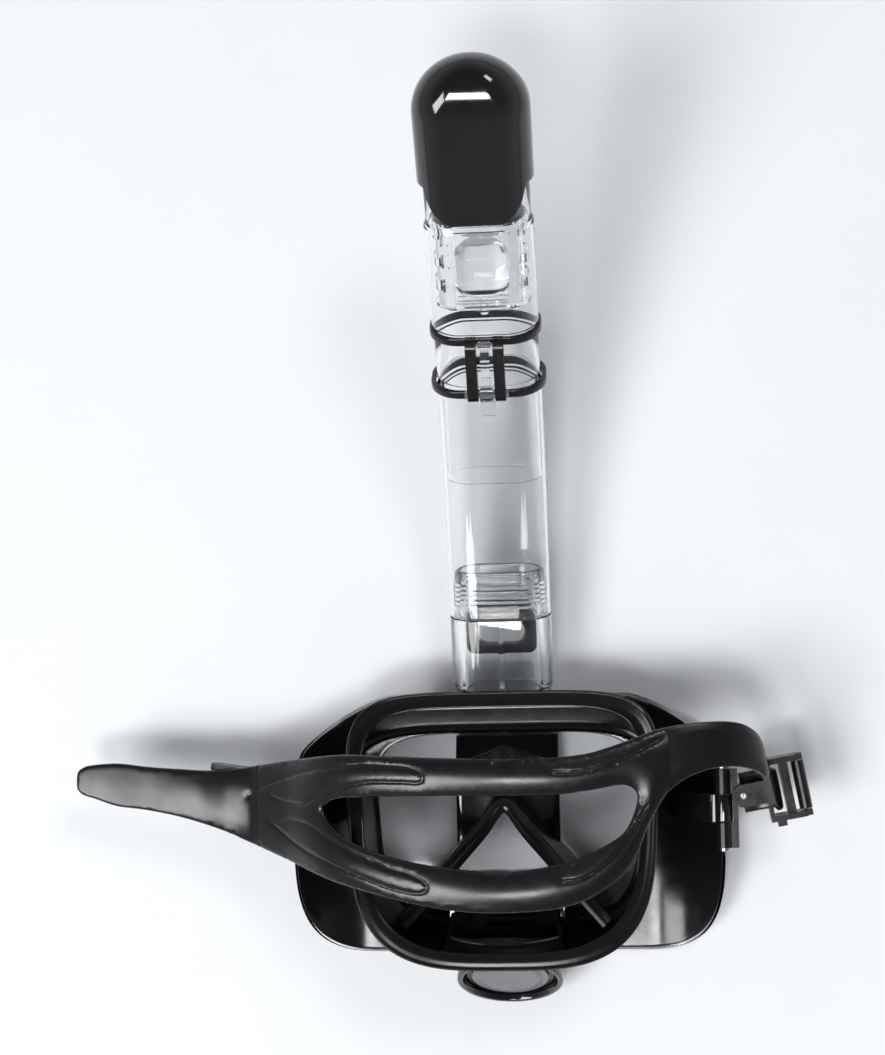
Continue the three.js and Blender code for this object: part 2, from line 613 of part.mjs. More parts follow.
const BAND_SPLIT = [
  [-84, 19], [-79, 23], [-59, 25], [-19, 25.9], [27, 25.9], [43, 27.5], [60.4, 29.2], [64.6, 25], [61.3, 13],
  [57, 7], [42.3, -1.2], [26.7, -5.9], [2.4, -9.2], [-20, -7.5], [-41, -4.5], [-59.6, -0.1], [-74.8, 6.4],
  [-82.3, 13.5],
];
const TAIL = [
  [-128, 35.7], [-142, 34.6], [-156, 35.3], [-176, 36.7], [-191, 38.3], [-208, 36.8], [-211.6, 34.4],
  [-212.4, 29.9], [-212, 25.5], [-209.5, 23], [-192.5, 17.3], [-178, 15.5], [-163, 12.8], [-149, 9.1],
  [-134, 3.6], [-128, 0.8],
];

// The strap's own thickness under a centre line of [x, z] points.
function ribbon(line, thick) {
  const lower = line.map(([x, z], i) => {
    const [x0, z0] = line[Math.max(i - 1, 0)];
    const [x1, z1] = line[Math.min(i + 1, line.length - 1)];
    const along = new THREE.Vector2(x1 - x0, z1 - z0).normalize();
    return [x + along.y * thick, z - along.x * thick];
  });
  return [...line, ...lower.reverse()];
}

function strapBand() {
  const outline = shapeOf([...spline(BAND_TOP, 24), ...spline(BAND_BOTTOM, 30)]);
  const closed = new THREE.CatmullRomCurve3(BAND_SPLIT.map(([x, y]) => V(x, y, 0)), true, "centripetal");
  const split = shapeOf(closed.getPoints(40).slice(0, -1).map((p) => [p.x, p.y]));
  const sheet = slab(ribbon(STRAP_LINE, STRAP.thick), -60, 80);
  return sheet.intersect(prism(outline, 20, 130)).subtract(prism(split, 20, 130));
}

function strapEndLeft() {
  const line = spline([[-126.5, 53.4], [-134, 52.4], [-150, 52.6], [-175, 50], [-197, 47], [-214, 46]], 14);
  return slab(ribbon(line, -STRAP.thick), -20, 80).intersect(prism(shapeOf(TAIL), 20, 80));
}

// Down through the buckle's slot and back under it, leaning towards the band above.
function strapEndRight() {
  const down = [[13.2, 26], [13.9, 20], [14.4, 16], [15.4, 9.4], [17.6, 3.4]];
  const line = spline([...down, [18, -3], [16, -8.4], [9.4, -10.6], [0, -10.4]], 26);
  const both = ribbon(line, STRAP.thick);
  const rings = line.map(([x, z], i) => {
    const [innerX, innerZ] = both[both.length - 1 - i];
    const lean = END_LEAN.lean * Math.max((z - END_LEAN.from) / (END_LEAN.to - END_LEAN.from), 0);
    const [y0, y1] = [lean - STRAP.endHalf, lean + STRAP.endHalf];
    return [V(x, y0, z), V(x, y1, z), V(innerX, y1, innerZ), V(innerX, y0, innerZ)];
  });
  return loft(rings);
}

// ---------------------------------------------------------------- buckles, from the swivel pin, +X outwards
function swivelPin() {
  const { pinR, half } = SWIVEL;
  const head = (y) => rod(V(0, y, 0), V(0, y + 1.1, 0), 3);
  return rod(V(0, -half - 0.8, 0), V(0, half + 0.8, 0), pinR).add(head(half + 0.3)).add(head(-half - 1.4));
}

function swivelBlock() {
  const { eyeR, eyeHalf, half, pinR } = SWIVEL;
  const { crossX, crossY, forkZ } = BUCKLE;
  const inner = eyeHalf + GAP;
  const z = forkZ - GAP;
  const knuckle = (y0, y1) => rod(V(0, y0, 0), V(0, y1, 0), eyeR).add(box(0, 6, y0, y1, -z, z));
  const web = box(eyeR + 0.5, 7, -half, half, -z, z);
  const pinEye = rod(V(crossX, crossY, -z), V(crossX, crossY, z), 4.6);
  const tongue = box(6, crossX, crossY - 5, crossY + 5, -z, z).add(pinEye);
  return knuckle(inner, half)
    .add(knuckle(-half, -inner))
    .add(web)
    .add(tongue)
    .subtract(rod(V(0, -40, 0), V(0, 40, 0), pinR + GAP / 2))
    .subtract(rod(V(crossX, crossY, -9), V(crossX, crossY, 9), CROSS_PIN.hole));
}

function buckleBody() {
  const { halfW, cheek, halfZ, eyeR, forkZ, end } = BUCKLE;
  const [wall0, wall1] = BUCKLE_WALL;
  const fork = (z0, z1) => rod(V(0, 0, z0), V(0, 0, z1), eyeR).add(box(0, wall1, -eyeR, eyeR, z0, z1));
  const across = ([x0, x1], z) => box(x0, x1, -halfW, halfW, -z, z);
  const side = (y0, y1) => box(wall0, ROLLER.x, y0, y1, -halfZ, halfZ).add(box(ROLLER.x, end, y0, y1, -3, 3));
  const { x0, x1, halfZ: slotZ, inner, travel } = BUTTON;
  const slot = box(x0 - GAP, x1 + GAP, -20, travel + GAP - inner, -slotZ - GAP, slotZ + GAP);
  return fork(forkZ, halfZ)
    .add(fork(-halfZ, -forkZ))
    .add(across(BUCKLE_WALL, halfZ))
    .add(side(halfW - cheek, halfW))
    .add(side(-halfW, cheek - halfW))
    .add(across(BUCKLE_BAR, halfZ - 1))
    .subtract(rod(V(0, 0, -9), V(0, 0, 9), CROSS_PIN.hole))
    .subtract(rod(V(ROLLER.x, -20, 0), V(ROLLER.x, 20, 0), ROLLER.pinR + GAP / 2))
    .subtract(slot);
}

function crossPin() {
  return rod(V(0, 0, 0.2 - BUCKLE.halfZ), V(0, 0, BUCKLE.halfZ - 0.2), CROSS_PIN.r);
}

function rollerPin() {
  const y = BUCKLE.halfW - 0.2;
  return rod(V(ROLLER.x, -y, 0), V(ROLLER.x, y, 0), ROLLER.pinR);
}

function roller() {
  const core = rod(V(ROLLER.x, -ROLLER.half, 0), V(ROLLER.x, ROLLER.half, 0), ROLLER.r);
  return core.subtract(rod(V(ROLLER.x, -20, 0), V(ROLLER.x, 20, 0), ROLLER.pinR + GAP / 2));
}

function releaseButton() {
  return box(BUTTON.x0, BUTTON.x1, -BUTTON.out, -BUTTON.inner, -BUTTON.halfZ, BUTTON.halfZ);
}

// ---------------------------------------------------------------- assembly
function named(name, made, look) {
  const mesh = new THREE.Mesh(geometryOf(made), new THREE.MeshStandardMaterial(look));
  mesh.name = name;
  return mesh;
}

function maskBody() {
  const group = new THREE.Group();
  group.add(
    named("front_lens", frontLens(), CLEAR),
    named("lens_frame", lensFrame(), GLOSS),
    named("air_duct_cover", airDuctCover(), GLOSS),
    named("snorkel_socket", snorkelSocket(), GLOSS),
    named("face_skirt", skirt(), SILICONE),
    named("orinasal_cup", orinasalCup(), SILICONE),
    named("chin_housing", chinHousing(), GLOSS),
    named("purge_housing", purgeHousing(), GLOSS),
    named("purge_seat", purgeSeat(), GLOSS),
    named("purge_flap", purgeFlap(), SILICONE),
    named("strap_band", strapBand(), SILICONE),
  );
  [["left", -1], ["right", 1]].forEach(([name, side]) => {
    group.add(named(`check_valve_seat_${name}`, checkValveSeat(side), GLOSS));
    group.add(named(`check_valve_flap_${name}`, checkValveFlap(side), MILKY));
  });
  return group;
}

function lowerSnorkel() {
  const base = tubeGroup(0);
  base.add(
    named("snorkel_connector", connector(), CLEAR),
    named("connector_divider", connectorDivider(), CLEAR),
    named("spigot_seal", spigotSeal(), MILKY),
  );
  const hinge = tubeGroup(HINGE.s);
  const pin = named("fold_hinge_pin", foldHingePin(), STEEL);
  pin.position.set(0, HINGE.s, HINGE.offset);
  hinge.add(named("lower_ring", lowerRing(), GLOSS), named("hinge_knuckle", hingeKnuckle(), CLEAR), pin);
  const group = new THREE.Group();
  group.add(base, hinge, named("main_tube", mainTube(), CLEAR), named("joint_sleeve", jointSleeve(), CLEAR));
  return group;
}

function foldingTop() {
  const group = tubeGroup(HINGE.s);
  const latchPin = named("latch_pin", rod(V(-8.6, 0, 0), V(8.6, 0, 0), LATCH.pinR), STEEL);
  latchPin.position.set(0, LATCH.s, LATCH.d);
  group.add(
    named("upper_ring", upperRing(), GLOSS),
    named("ring_coupling", coupling(), CLEAR),
    named("dry_top_housing", dryTopHousing(), CLEAR),
    named("float_cage", floatCage(), CLEAR),
    named("float", floatBody(), CLEAR),
    named("valve_seal", valveSeal(), SILICONE),
    named("cap", cap(), GLOSS),
    named("latch_lever", latchLever(), CLEAR),
    latchPin,
  );
  return group;
}

function buckle(name, side) {
  const swivel = new THREE.Group();
  swivel.position.set(side * SWIVEL.x, SWIVEL.y, SWIVEL.z);
  swivel.scale.x = side;
  const body = new THREE.Group();
  body.position.set(BUCKLE.crossX, BUCKLE.crossY, 0);
  body.rotation.z = rad(TILT[name]);
  body.add(
    named(`buckle_body_${name}`, buckleBody(), GLOSS),
    named(`cross_pin_${name}`, crossPin(), STEEL),
    named(`strap_roller_${name}`, roller(), GLOSS),
    named(`roller_pin_${name}`, rollerPin(), STEEL),
    named(`release_button_${name}`, releaseButton(), GLOSS),
  );
  if (side > 0) body.add(named("strap_end_right", strapEndRight(), SILICONE));
  swivel.add(
    named(`swivel_pin_${name}`, swivelPin(), STEEL),
    named(`swivel_block_${name}`, swivelBlock(), GLOSS),
    body,
  );
  return swivel;
}

const snorkelMask = new THREE.Group();
snorkelMask.add(maskBody(), lowerSnorkel(), foldingTop(), buckle("left", -1), buckle("right", 1));
snorkelMask.add(named("strap_end_left", strapEndLeft(), SILICONE));

export default snorkelMask;
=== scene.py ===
# A compact full-face snorkel mask lying on its lens. Lengths are in millimetres until make() turns them into metres.
import math

import bmesh
import bpy
import numpy as np
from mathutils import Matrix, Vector
from mathutils.geometry import delaunay_2d_cdt


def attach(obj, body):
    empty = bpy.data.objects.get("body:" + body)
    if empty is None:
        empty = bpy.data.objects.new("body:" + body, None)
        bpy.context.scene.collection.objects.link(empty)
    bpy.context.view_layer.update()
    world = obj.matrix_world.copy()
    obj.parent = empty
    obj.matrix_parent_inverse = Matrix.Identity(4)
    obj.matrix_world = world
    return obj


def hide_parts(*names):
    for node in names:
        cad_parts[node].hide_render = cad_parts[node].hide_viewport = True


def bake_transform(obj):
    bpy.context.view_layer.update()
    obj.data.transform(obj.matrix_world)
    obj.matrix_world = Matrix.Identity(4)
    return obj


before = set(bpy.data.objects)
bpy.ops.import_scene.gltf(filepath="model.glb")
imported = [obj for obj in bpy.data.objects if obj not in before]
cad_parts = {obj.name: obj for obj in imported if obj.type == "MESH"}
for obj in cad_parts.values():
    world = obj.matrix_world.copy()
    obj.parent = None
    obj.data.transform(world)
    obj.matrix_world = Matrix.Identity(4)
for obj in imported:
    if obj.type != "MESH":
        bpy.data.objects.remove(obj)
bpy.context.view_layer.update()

MM = 0.001
scene = bpy.context.scene


# ---------------------------------------------------------------- helpers
def lerp(a, b, t):
    return a + (b - a) * t


def steps(a, b, count):
    return [lerp(a, b, i / count) for i in range(count + 1)]


def mix(p, q, t):
    return tuple(lerp(a, b, t) for a, b in zip(p, q))


def make(name, verts, faces, look, body=None, angle=35, bevel=0.0):
    """A piece from millimetre vertices, shaded smooth below the angle."""
    mesh = bpy.data.meshes.new(name)
    mesh.from_pydata([(x * MM, y * MM, z * MM) for x, y, z in verts], [], faces)
    tidy = bmesh.new()
    tidy.from_mesh(mesh)
    bmesh.ops.remove_doubles(tidy, verts=tidy.verts, dist=1e-6)
    bmesh.ops.dissolve_degenerate(tidy, edges=tidy.edges, dist=1e-7)
    bmesh.ops.recalc_face_normals(tidy, faces=tidy.faces)
    tidy.to_mesh(mesh)
    tidy.free()
    obj = bpy.data.objects.new(name, mesh)
    scene.collection.objects.link(obj)
    mesh.materials.append(look)
    mesh.shade_smooth()
    mesh.set_sharp_from_angle(angle=math.radians(angle))
    if bevel:
        add_bevel(obj, bevel)
    if body:
        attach(obj, body)
    return obj


def add_bevel(obj, width, segments=3):
    mod = obj.modifiers.new("edges", "BEVEL")
    mod.width = width * MM
    mod.segments = segments
    mod.limit_method = "ANGLE"
    mod.angle_limit = math.radians(40)
    mod.harden_normals = True


def skin(rings, closed=False, caps=True):
    """Quads through rings of equal count; open ends are closed by a fan."""
    count = len(rings[0])
    verts = [p for ring in rings for p in ring]
    faces = []
    spans = len(rings) if closed else len(rings) - 1
    for i in range(spans):
        a = i * count
        b = ((i + 1) % len(rings)) * count
        for j in range(count):
            k = (j + 1) % count
            faces.append((a + j, a + k, b + k, b + j))
    if caps and not closed:
        for first, ring in ((0, rings[0]), ((len(rings) - 1) * count, rings[-1])):
            verts.append(tuple(sum(p[n] for p in ring) / count for n in range(3)))
            faces += [(len(verts) - 1, first + j, first + (j + 1) % count) for j in range(count)]
    return verts, faces


def soften(points, radius=None, share=0.3, count=4, closed=True):
    """The corners of a run of number tuples, turned into short curves."""
    out = []
    total = len(points)
    for i, p in enumerate(points):
        if not closed and i in (0, total - 1):
            out.append(p)
            continue
        before, after = points[i - 1], points[(i + 1) % total]
        ends = []
        for q in (before, after):
            length = math.dist(p, q) or 1.0
            cut = share if radius is None else min(radius / length, 0.48)
            ends.append(mix(p, q, cut))
        for t in steps(0, 1, count):
            out.append(mix(mix(ends[0], p, t), mix(p, ends[1], t), t))
    return out


def dense(points, longest, closed=True):
    """Long gaps in a run of points, divided evenly."""
    out = []
    ends = points[1:] + points[:1] if closed else points[1:]
    for p, q in zip(points, ends):
        parts = max(1, math.ceil(math.dist(p, q) / longest))
        out += [mix(p, q, i / parts) for i in range(parts)]
    return out if closed else out + [points[-1]]


def spline(points, count, closed=False):
    """A centripetal Catmull-Rom curve, count points in all."""
    pts = [Vector(p) for p in points]
    total = len(pts)
    spans = total if closed else total - 1
    out = []
    for n in range(count):
        u = n / count * spans if closed else n / (count - 1) * spans
        i = min(int(u), spans - 1)
        t = u - i
        if closed:
            p0, p1, p2, p3 = (pts[(i + k) % total] for k in (-1, 0, 1, 2))
        else:
            p1, p2 = pts[i], pts[i + 1]
            p0 = pts[i - 1] if i > 0 else p1 * 2 - p2
            p3 = pts[i + 2] if i + 2 < total else p2 * 2 - p1
        d0, d1, d2 = ((b - a).length ** 0.5 or 1e-6 for a, b in ((p0, p1), (p1, p2), (p2, p3)))
        m1 = (p1 - p0) / d0 - (p2 - p0) / (d0 + d1) + (p2 - p1) / d1
        m2 = (p2 - p1) / d1 - (p3 - p1) / (d1 + d2) + (p3 - p2) / d2
        m1, m2 = m1 * d1, m2 * d1
        a, b = 2 * (p1 - p2) + m1 + m2, 3 * (p2 - p1) - 2 * m1 - m2
        out.append(tuple(a * t ** 3 + b * t ** 2 + m1 * t + p1))
    return out


def bezier(p0, p1, p2, p3, count):
    return [mix(mix(mix(p0, p1, t), mix(p1, p2, t), t), mix(mix(p1, p2, t), mix(p2, p3, t), t), t)
            for t in steps(0, 1, count)]


def racetrack(w, d, corner=14.5, count=12):
    r = min(corner, w, d) - 0.01
    out = []
    for q in range(4):
        cx = (1 if q in (0, 3) else -1) * (w - r)
        cy = (1 if q < 2 else -1) * (d - r)
        for i in range(count + 1):
            a = (q + i / count) * math.pi / 2
            out.append((cx + r * math.cos(a), cy + r * math.sin(a)))
    return out


# ---------------------------------------------------------------- materials
def finish(name, colour, rough, other=None, spread=0.2, bump=0.0, bump_scale=2500,
           scratch=0.0, specks=0.0, **sockets):
    """Principled shader whose colour, roughness and relief vary over the surface."""
    look = bpy.data.materials.new(name)
    look.use_nodes = True
    nodes, links = look.node_tree.nodes, look.node_tree.links
    shader = nodes["Principled BSDF"]
    coords = nodes.new("ShaderNodeTexCoord").outputs["Object"]

    def noise(size, detail=4.0, stretch=None):
        tex = nodes.new("ShaderNodeTexNoise")
        tex.inputs["Scale"].default_value = size
        tex.inputs["Detail"].default_value = detail
        if stretch:
            place = nodes.new("ShaderNodeMapping")
            place.inputs["Scale"].default_value = stretch
            links.new(coords, place.inputs["Vector"])
            links.new(place.outputs["Vector"], tex.inputs["Vector"])
        else:
            links.new(coords, tex.inputs["Vector"])
        return tex.outputs["Fac"]

    def ramp(source, stops):
        node = nodes.new("ShaderNodeValToRGB")
        points = node.color_ramp.elements
        for element, (at, value) in zip(points, stops):
            element.position = at
            element.color = (*value, 1)
        links.new(source, node.inputs["Fac"])
        return node.outputs["Color"]

    for key, value in sockets.items():
        shader.inputs[key.replace("_", " ")].default_value = value
    if other is None:
        shader.inputs["Base Color"].default_value = (*colour, 1)
    else:
        broad = ramp(noise(14, 6), [(0.3, colour), (0.7, other)])
        if specks:
            dust = ramp(noise(2600, 2), [(0.66, (0, 0, 0)), (0.74, (specks, specks, specks))])
            blend = nodes.new("ShaderNodeMix")
            blend.data_type = "RGBA"
            blend.blend_type = "ADD"
            blend.inputs["Factor"].default_value = 1
            links.new(broad, blend.inputs["A"])
            links.new(dust, blend.inputs["B"])
            broad = blend.outputs["Result"]
        links.new(broad, shader.inputs["Base Color"])
    vary = nodes.new("ShaderNodeMapRange")
    vary.inputs["From Min"].default_value = 0.3
    vary.inputs["From Max"].default_value = 0.7
    vary.inputs["To Min"].default_value = rough * (1 - spread)
    vary.inputs["To Max"].default_value = rough * (1 + spread)
    links.new(noise(140, 5), vary.inputs["Value"])
    links.new(vary.outputs["Result"], shader.inputs["Roughness"])
    relief = None
    for strength, source in ((bump, lambda: noise(bump_scale, 3)),
                             (scratch, lambda: noise(1, 2, (2400, 90, 900)))):
        if strength:
            node = nodes.new("ShaderNodeBump")
            node.inputs["Strength"].default_value = strength
            node.inputs["Distance"].default_value = 0.0002
            links.new(source(), node.inputs["Height"])
            if relief:
                links.new(relief, node.inputs["Normal"])
            relief = node.outputs["Normal"]
    if relief:
        links.new(relief, shader.inputs["Normal"])
    return look


CLEAR = finish("clear_polycarbonate", (0.985, 0.99, 0.99), 0.025, spread=0.6, scratch=0.02,
               Transmission_Weight=1.0, IOR=1.46)
THIN_CLEAR = finish("clear_inner_parts", (0.98, 0.985, 0.985), 0.05, spread=0.5, scratch=0.04,
                    Transmission_Weight=1.0, IOR=1.36)
LENS_CLEAR = finish("clear_lens", (0.97, 0.972, 0.985), 0.03, spread=0.6, scratch=0.01,
                    Transmission_Weight=1.0, IOR=1.42)
# Painted shade: a near-black see-through material for a ring that stands in for the darkness refraction shows in the
# thick clear connector.
PAINTED_DARK = finish("painted_dark_refraction", (0.05, 0.052, 0.056), 0.06, spread=0.4, scratch=0.05,
               Transmission_Weight=1.0, IOR=1.5)
GLOSS = finish("polished_black", (0.004, 0.004, 0.005), 0.09, other=(0.007, 0.007, 0.008), spread=0.3,
               bump=0.012, bump_scale=900, scratch=0.03, Coat_Weight=0.3, Coat_Roughness=0.04)
SATIN = finish("satin_black", (0.004, 0.004, 0.0045), 0.24, other=(0.007, 0.007, 0.008), spread=0.25,
               bump=0.08, bump_scale=3200, scratch=0.05, Specular_IOR_Level=0.4)
SKIRT = finish("skirt_silicone", (0.003, 0.003, 0.0035), 0.21, other=(0.0045, 0.0045, 0.005), spread=0.12,
               bump=0.05, bump_scale=1500, specks=0.012, Specular_IOR_Level=0.42)
STRAP = finish("strap_silicone", (0.004, 0.0042, 0.0052), 0.24, other=(0.0055, 0.0058, 0.007), spread=0.12,
               bump=0.10, bump_scale=3000, specks=0.03, Specular_IOR_Level=0.45)
MILKY = finish("milky_silicone", (0.965, 0.97, 0.975), 0.10, spread=0.2, bump=0.04, Transmission_Weight=1.0,
               IOR=1.32)
FRAME_BLACK = finish("frame_black", (0.004, 0.004, 0.0045), 0.17, other=(0.007, 0.007, 0.008), spread=0.2,
                     bump=0.03, bump_scale=700, scratch=0.03, Specular_IOR_Level=0.4)
# Painted reflection: black silicone given a grey base colour, which stands in for the reflection of the bright
# surroundings on the glossy purge disc.
REFLECTION_GREY = finish("painted_reflection_grey", (0.13, 0.13, 0.137), 0.3, other=(0.16, 0.16, 0.167), spread=0.2, bump=0.05)
STEEL = finish("polished_pin", (0.62, 0.62, 0.64), 0.22, other=(0.52, 0.52, 0.54), spread=0.3, scratch=0.15,
               Metallic=1.0)
FLOOR = finish("pale_table", (0.80, 0.815, 0.84), 0.62, other=(0.815, 0.83, 0.855), spread=0.1, bump=0.04,
               bump_scale=600, Specular_IOR_Level=0.2)


# ---------------------------------------------------------------- tube centre line
AXIS_Y, AXIS_Z = 66, 22.2
RISE0, RISE1 = math.radians(13.3), math.radians(35.6)
BEND_FROM, BEND_TO = 78, 163
BEND_R = (BEND_TO - BEND_FROM) / (RISE1 - RISE0)
HINGE_S = 168.2


def axis_point(s):
    first, last = min(s, BEND_FROM), max(s - BEND_TO, 0)
    e = lerp(RISE0, RISE1, min(max((s - BEND_FROM) / (BEND_TO - BEND_FROM), 0), 1))
    y = AXIS_Y + first * math.cos(RISE0) + BEND_R * (math.sin(e) - math.sin(RISE0)) + last * math.cos(RISE1)
    z = AXIS_Z + first * math.sin(RISE0) + BEND_R * (math.cos(RISE0) - math.cos(e)) + last * math.sin(RISE1)
    return y, z, e


def on_tube(x, s, d):
    y, z, e = axis_point(s)
    return x, y - d * math.sin(e), z + d * math.cos(e)


def straight(s0):
    """Placing by x, s and d on the straight stretch of tube round s0."""
    y, z, e = axis_point(s0)

    def put(x, s, d):
        along = s - s0
        return x, y + along * math.cos(e) - d * math.sin(e), z + along * math.sin(e) + d * math.cos(e)

    return put


LOW, HIGH = straight(0), straight(HINGE_S)


def ring_at(s, w, d, put, corner=14.5):
    return [put(x, s, y) for x, y in racetrack(w, d, corner)]


def track(name, profile, put, look, body, radius=0.5, longest=None, corner=14.5):
    """A closed profile of (s, half width, half depth), carried round the racetrack."""
    run = soften(profile, radius=radius, count=3)
    if longest:
        run = dense(run, longest)
    return make(name, *skin([ring_at(*p, put, corner) for p in run], closed=True), look, body)


def wall_profile(stations):
    """Both sides of a pipe wall from (s, half width, half depth, wall) stations."""
    outer = [(s, w, d) for s, w, d, _ in stations]
    inner = [(s, w - t, d - t) for s, w, d, t in stations]
    return outer + inner[::-1]


def prism(name, outline, z0, z1, look, body, put=lambda x, y, z: (x, y, z), bevel=0.5, holes=()):
    """A flat plate: an outline in x and y between two heights, with holes."""
    loops = [outline, *holes]
    flat = [Vector(p) for loop in loops for p in loop]
    edges = []
    start = 0
    for loop in loops:
        edges += [(start + i, start + (i + 1) % len(loop)) for i in range(len(loop))]
        start += len(loop)
    pts, _, tris = delaunay_2d_cdt(flat, edges, [], 1, 1e-5)[:3]
    keep = [t for t in tris if not any(inside(centre(pts, t), h) for h in holes)
            and inside(centre(pts, t), outline)]
    count = len(pts)
    verts = [put(p.x, p.y, z1) for p in pts] + [put(p.x, p.y, z0) for p in pts]
    faces = [tuple(t) for t in keep] + [tuple(i + count for i in reversed(t)) for t in keep]
    faces += [(a, b, b + count, a + count) for a, b in border(keep)]
    return make(name, verts, faces, look, body, bevel=bevel)


def centre(pts, tri):
    return tuple(sum(pts[i][n] for i in tri) / len(tri) for n in range(2))


def inside(p, loop):
    x, y = p
    odd = False
    for (x0, y0), (x1, y1) in zip(loop, loop[1:] + loop[:1]):
        if (y0 > y) != (y1 > y) and x < (x1 - x0) * (y - y0) / (y1 - y0) + x0:
            odd = not odd
    return odd


def border(tris):
    """Directed edges that only one triangle uses."""
    seen = {}
    for t in tris:
        for a, b in zip(t, (*t[1:], t[0])):
            seen[(a, b)] = True
    return [(b, a) for a, b in seen if (b, a) not in seen]


# ---------------------------------------------------------------- lens and frame
FLAT_HALF, BEND = 70, 48
LENS_HALF, LENS_TOP, LENS_BOTTOM, TONGUE_TOP = 107.5, 66, -63.5, 84
LENS_THICK = 3
PLATE_INSET = 0.7


def sheet_z(x, h):
    """Height h above the lens: flat in the middle, rolled up round an arc at both sides."""
    r = BEND - h
    out = abs(x) - FLAT_HALF
    return h if out <= 0 else BEND - math.sqrt(max(r * r - out * out, 0))


def lens_outline(inset, tongue):
    """The lens from the front, drawn in by an inset, with or without the tongue at its top."""
    k = 1 - inset / LENS_HALF
    top, bottom = LENS_TOP - inset, LENS_BOTTOM + inset
    wide = LENS_HALF * k
    half = [(0, bottom), (36 * k, bottom), (72 * k, bottom)]
    half += bezier((72 * k, bottom), (80 * k, bottom + 0.3), (86.3 * k, bottom + 2), (91 * k, bottom + 5), 6)[1:]
    half += bezier((91 * k, bottom + 5), (103 * k, bottom + 12), (wide, -36), (wide, -12), 18)[1:]
    half += bezier((wide, -12), (108.5 * k, 10), (wide, 30), (104 * k, 39 * k), 16)[1:]
    half += bezier((104 * k, 39 * k), (103 * k, 43), (82 * k, top - 5), (62, top), 14)[1:]
    if tongue:
        tongue_line = [(62, top), (22, top), (21, TONGUE_TOP), (0, TONGUE_TOP)]
        half += [(43, top)] + soften(tongue_line, radius=5, count=5, closed=False)[1:]
    else:
        half += [(31, top), (0, top)]
    right = [p for p, q in zip(half, half[1:] + [(1e9, 0)]) if math.dist(p, q) > 0.05]
    return right + [(-x, y) for x, y in reversed(right) if x > 0.01]


def by_angle(loop, angles):
    """Where rays from the origin meet a star-shaped loop."""
    polar = sorted((math.atan2(y, x) % math.tau, math.hypot(x, y)) for x, y in loop)
    polar = [(polar[-1][0] - math.tau, polar[-1][1])] + polar + [(polar[0][0] + math.tau, polar[0][1])]
    out = []
    for a in angles:
        for (a0, r0), (a1, r1) in zip(polar, polar[1:]):
            if a0 <= a <= a1:
                p = (r0 * math.cos(a0), r0 * math.sin(a0))
                q = (r1 * math.cos(a1), r1 * math.sin(a1))
                cross = (q[0] - p[0]) * math.sin(a) - (q[1] - p[1]) * math.cos(a)
                r = ((q[0] - p[0]) * -p[1] + (q[1] - p[1]) * p[0]) / -cross if abs(cross) > 1e-9 else r0
                out.append((abs(r) * math.cos(a), abs(r) * math.sin(a)))
                break
    return out


def face_ring(half_w, top, bottom, taper, count=168):
    """A rounded-off rectangle, squarer at the forehead than at the chin, wider at the top by the taper."""
    out = []
    for i in range(count):
        a = i / count * math.tau
        power = 5 if math.sin(a) > 0 else 3.3
        c = math.copysign(abs(math.cos(a)) ** (2 / power), math.cos(a))
        s = math.copysign(abs(math.sin(a)) ** (2 / power), math.sin(a))
        out.append((half_w * c * (1 + taper * s), (top + bottom) / 2 + (top - bottom) / 2 * s))
    return out


def bent_plate(name, outer, inner, h0, h1, look, body, rows):
    """A bent sheet from an outer loop in to an inner loop, or to its middle."""
    edge = [(PLATE_INSET, 0), (0.25, 0.12), (0, 0.45)]  # (inset, rise) of the rounded rim

    def ring(share, inset, h):
        loop = []
        for i, (x, y) in enumerate(outer):
            away = 1 - inset / math.hypot(x, y)
            p = (x * away, y * away)
            q = inner[i] if inner else (0.0, 0.0)
            if inner:
                away_in = 1 + inset / math.hypot(*q)
                q = (q[0] * away_in, q[1] * away_in)
            px, py = mix(p, q, share)
            loop.append((px, py, sheet_z(px, h)))
        return loop

    shares = steps(0, 1, rows) if inner else steps(0, 0.98, rows)
    rings = [ring(0, inset, h0 + up) for inset, up in reversed(edge)]
    rings += [ring(t, PLATE_INSET, h0) for t in shares[1:]]
    if inner:
        rings += [ring(1, inset, h0 + up) for inset, up in edge[1:]]
        rings += [ring(1, inset, h1 - up) for inset, up in reversed(edge)]
        rings += [ring(t, PLATE_INSET, h1) for t in shares[::-1][1:]]
        rings += [ring(0, inset, h1 - up) for inset, up in edge[1:]]
        return make(name, *skin(rings, closed=True), look, body)
    verts, faces = skin(rings[::-1] + [ring(0, inset, h1 - up) for inset, up in reversed(edge)]
                        + [ring(t, PLATE_INSET, h1) for t in shares[1:]])
    return make(name, verts, faces, look, body)


FOOT_Z = 6.1
LIP_TOP, LIP_BOTTOM = 71, -58
LIP_LOW, LIP_HIGH = 50, 85  # the lip's height over the lens at its top and at the chin


def lip_z(y):
    return lerp(LIP_HIGH, LIP_LOW, (y - LIP_BOTTOM) / (LIP_TOP - LIP_BOTTOM))


lens_loop = lens_outline(0, True)
lens = bent_plate("lens_shell", lens_loop, None, 0, LENS_THICK, LENS_CLEAR, "mask", 46)
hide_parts("front_lens")

window = face_ring(65.5, 47, -50, 0.05)
angles = [math.atan2(y, x) % math.tau for x, y in window]
frame_loop = by_angle(lens_outline(1.6, False), angles)
sheet = bent_plate("frame_sheet", frame_loop, window, 3.3, 5.8, FRAME_BLACK, "mask", 18)
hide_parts("lens_frame")

LUG = [(79, 5.4), (94, 11.7), (102, 25), (103, 38), (104, 47), (98, 45), (84, 28)]
SWIVEL_X, SWIVEL_Y, SWIVEL_Z = 106, 12, 44


def rod_rings(radius, y0, y1, chamfer=0.5, count=40, hole=0.0):
    """Rings of a round bar along y with softened ends; a hole makes it a bush."""
    ends = soften([(y0, hole), (y0, radius), (y1, radius), (y1, hole)], radius=chamfer, closed=hole > 0, count=3)
    return [[(r * math.cos(a), y, r * math.sin(a)) for a in (i / count * math.tau for i in range(count))]
            for y, r in ends]


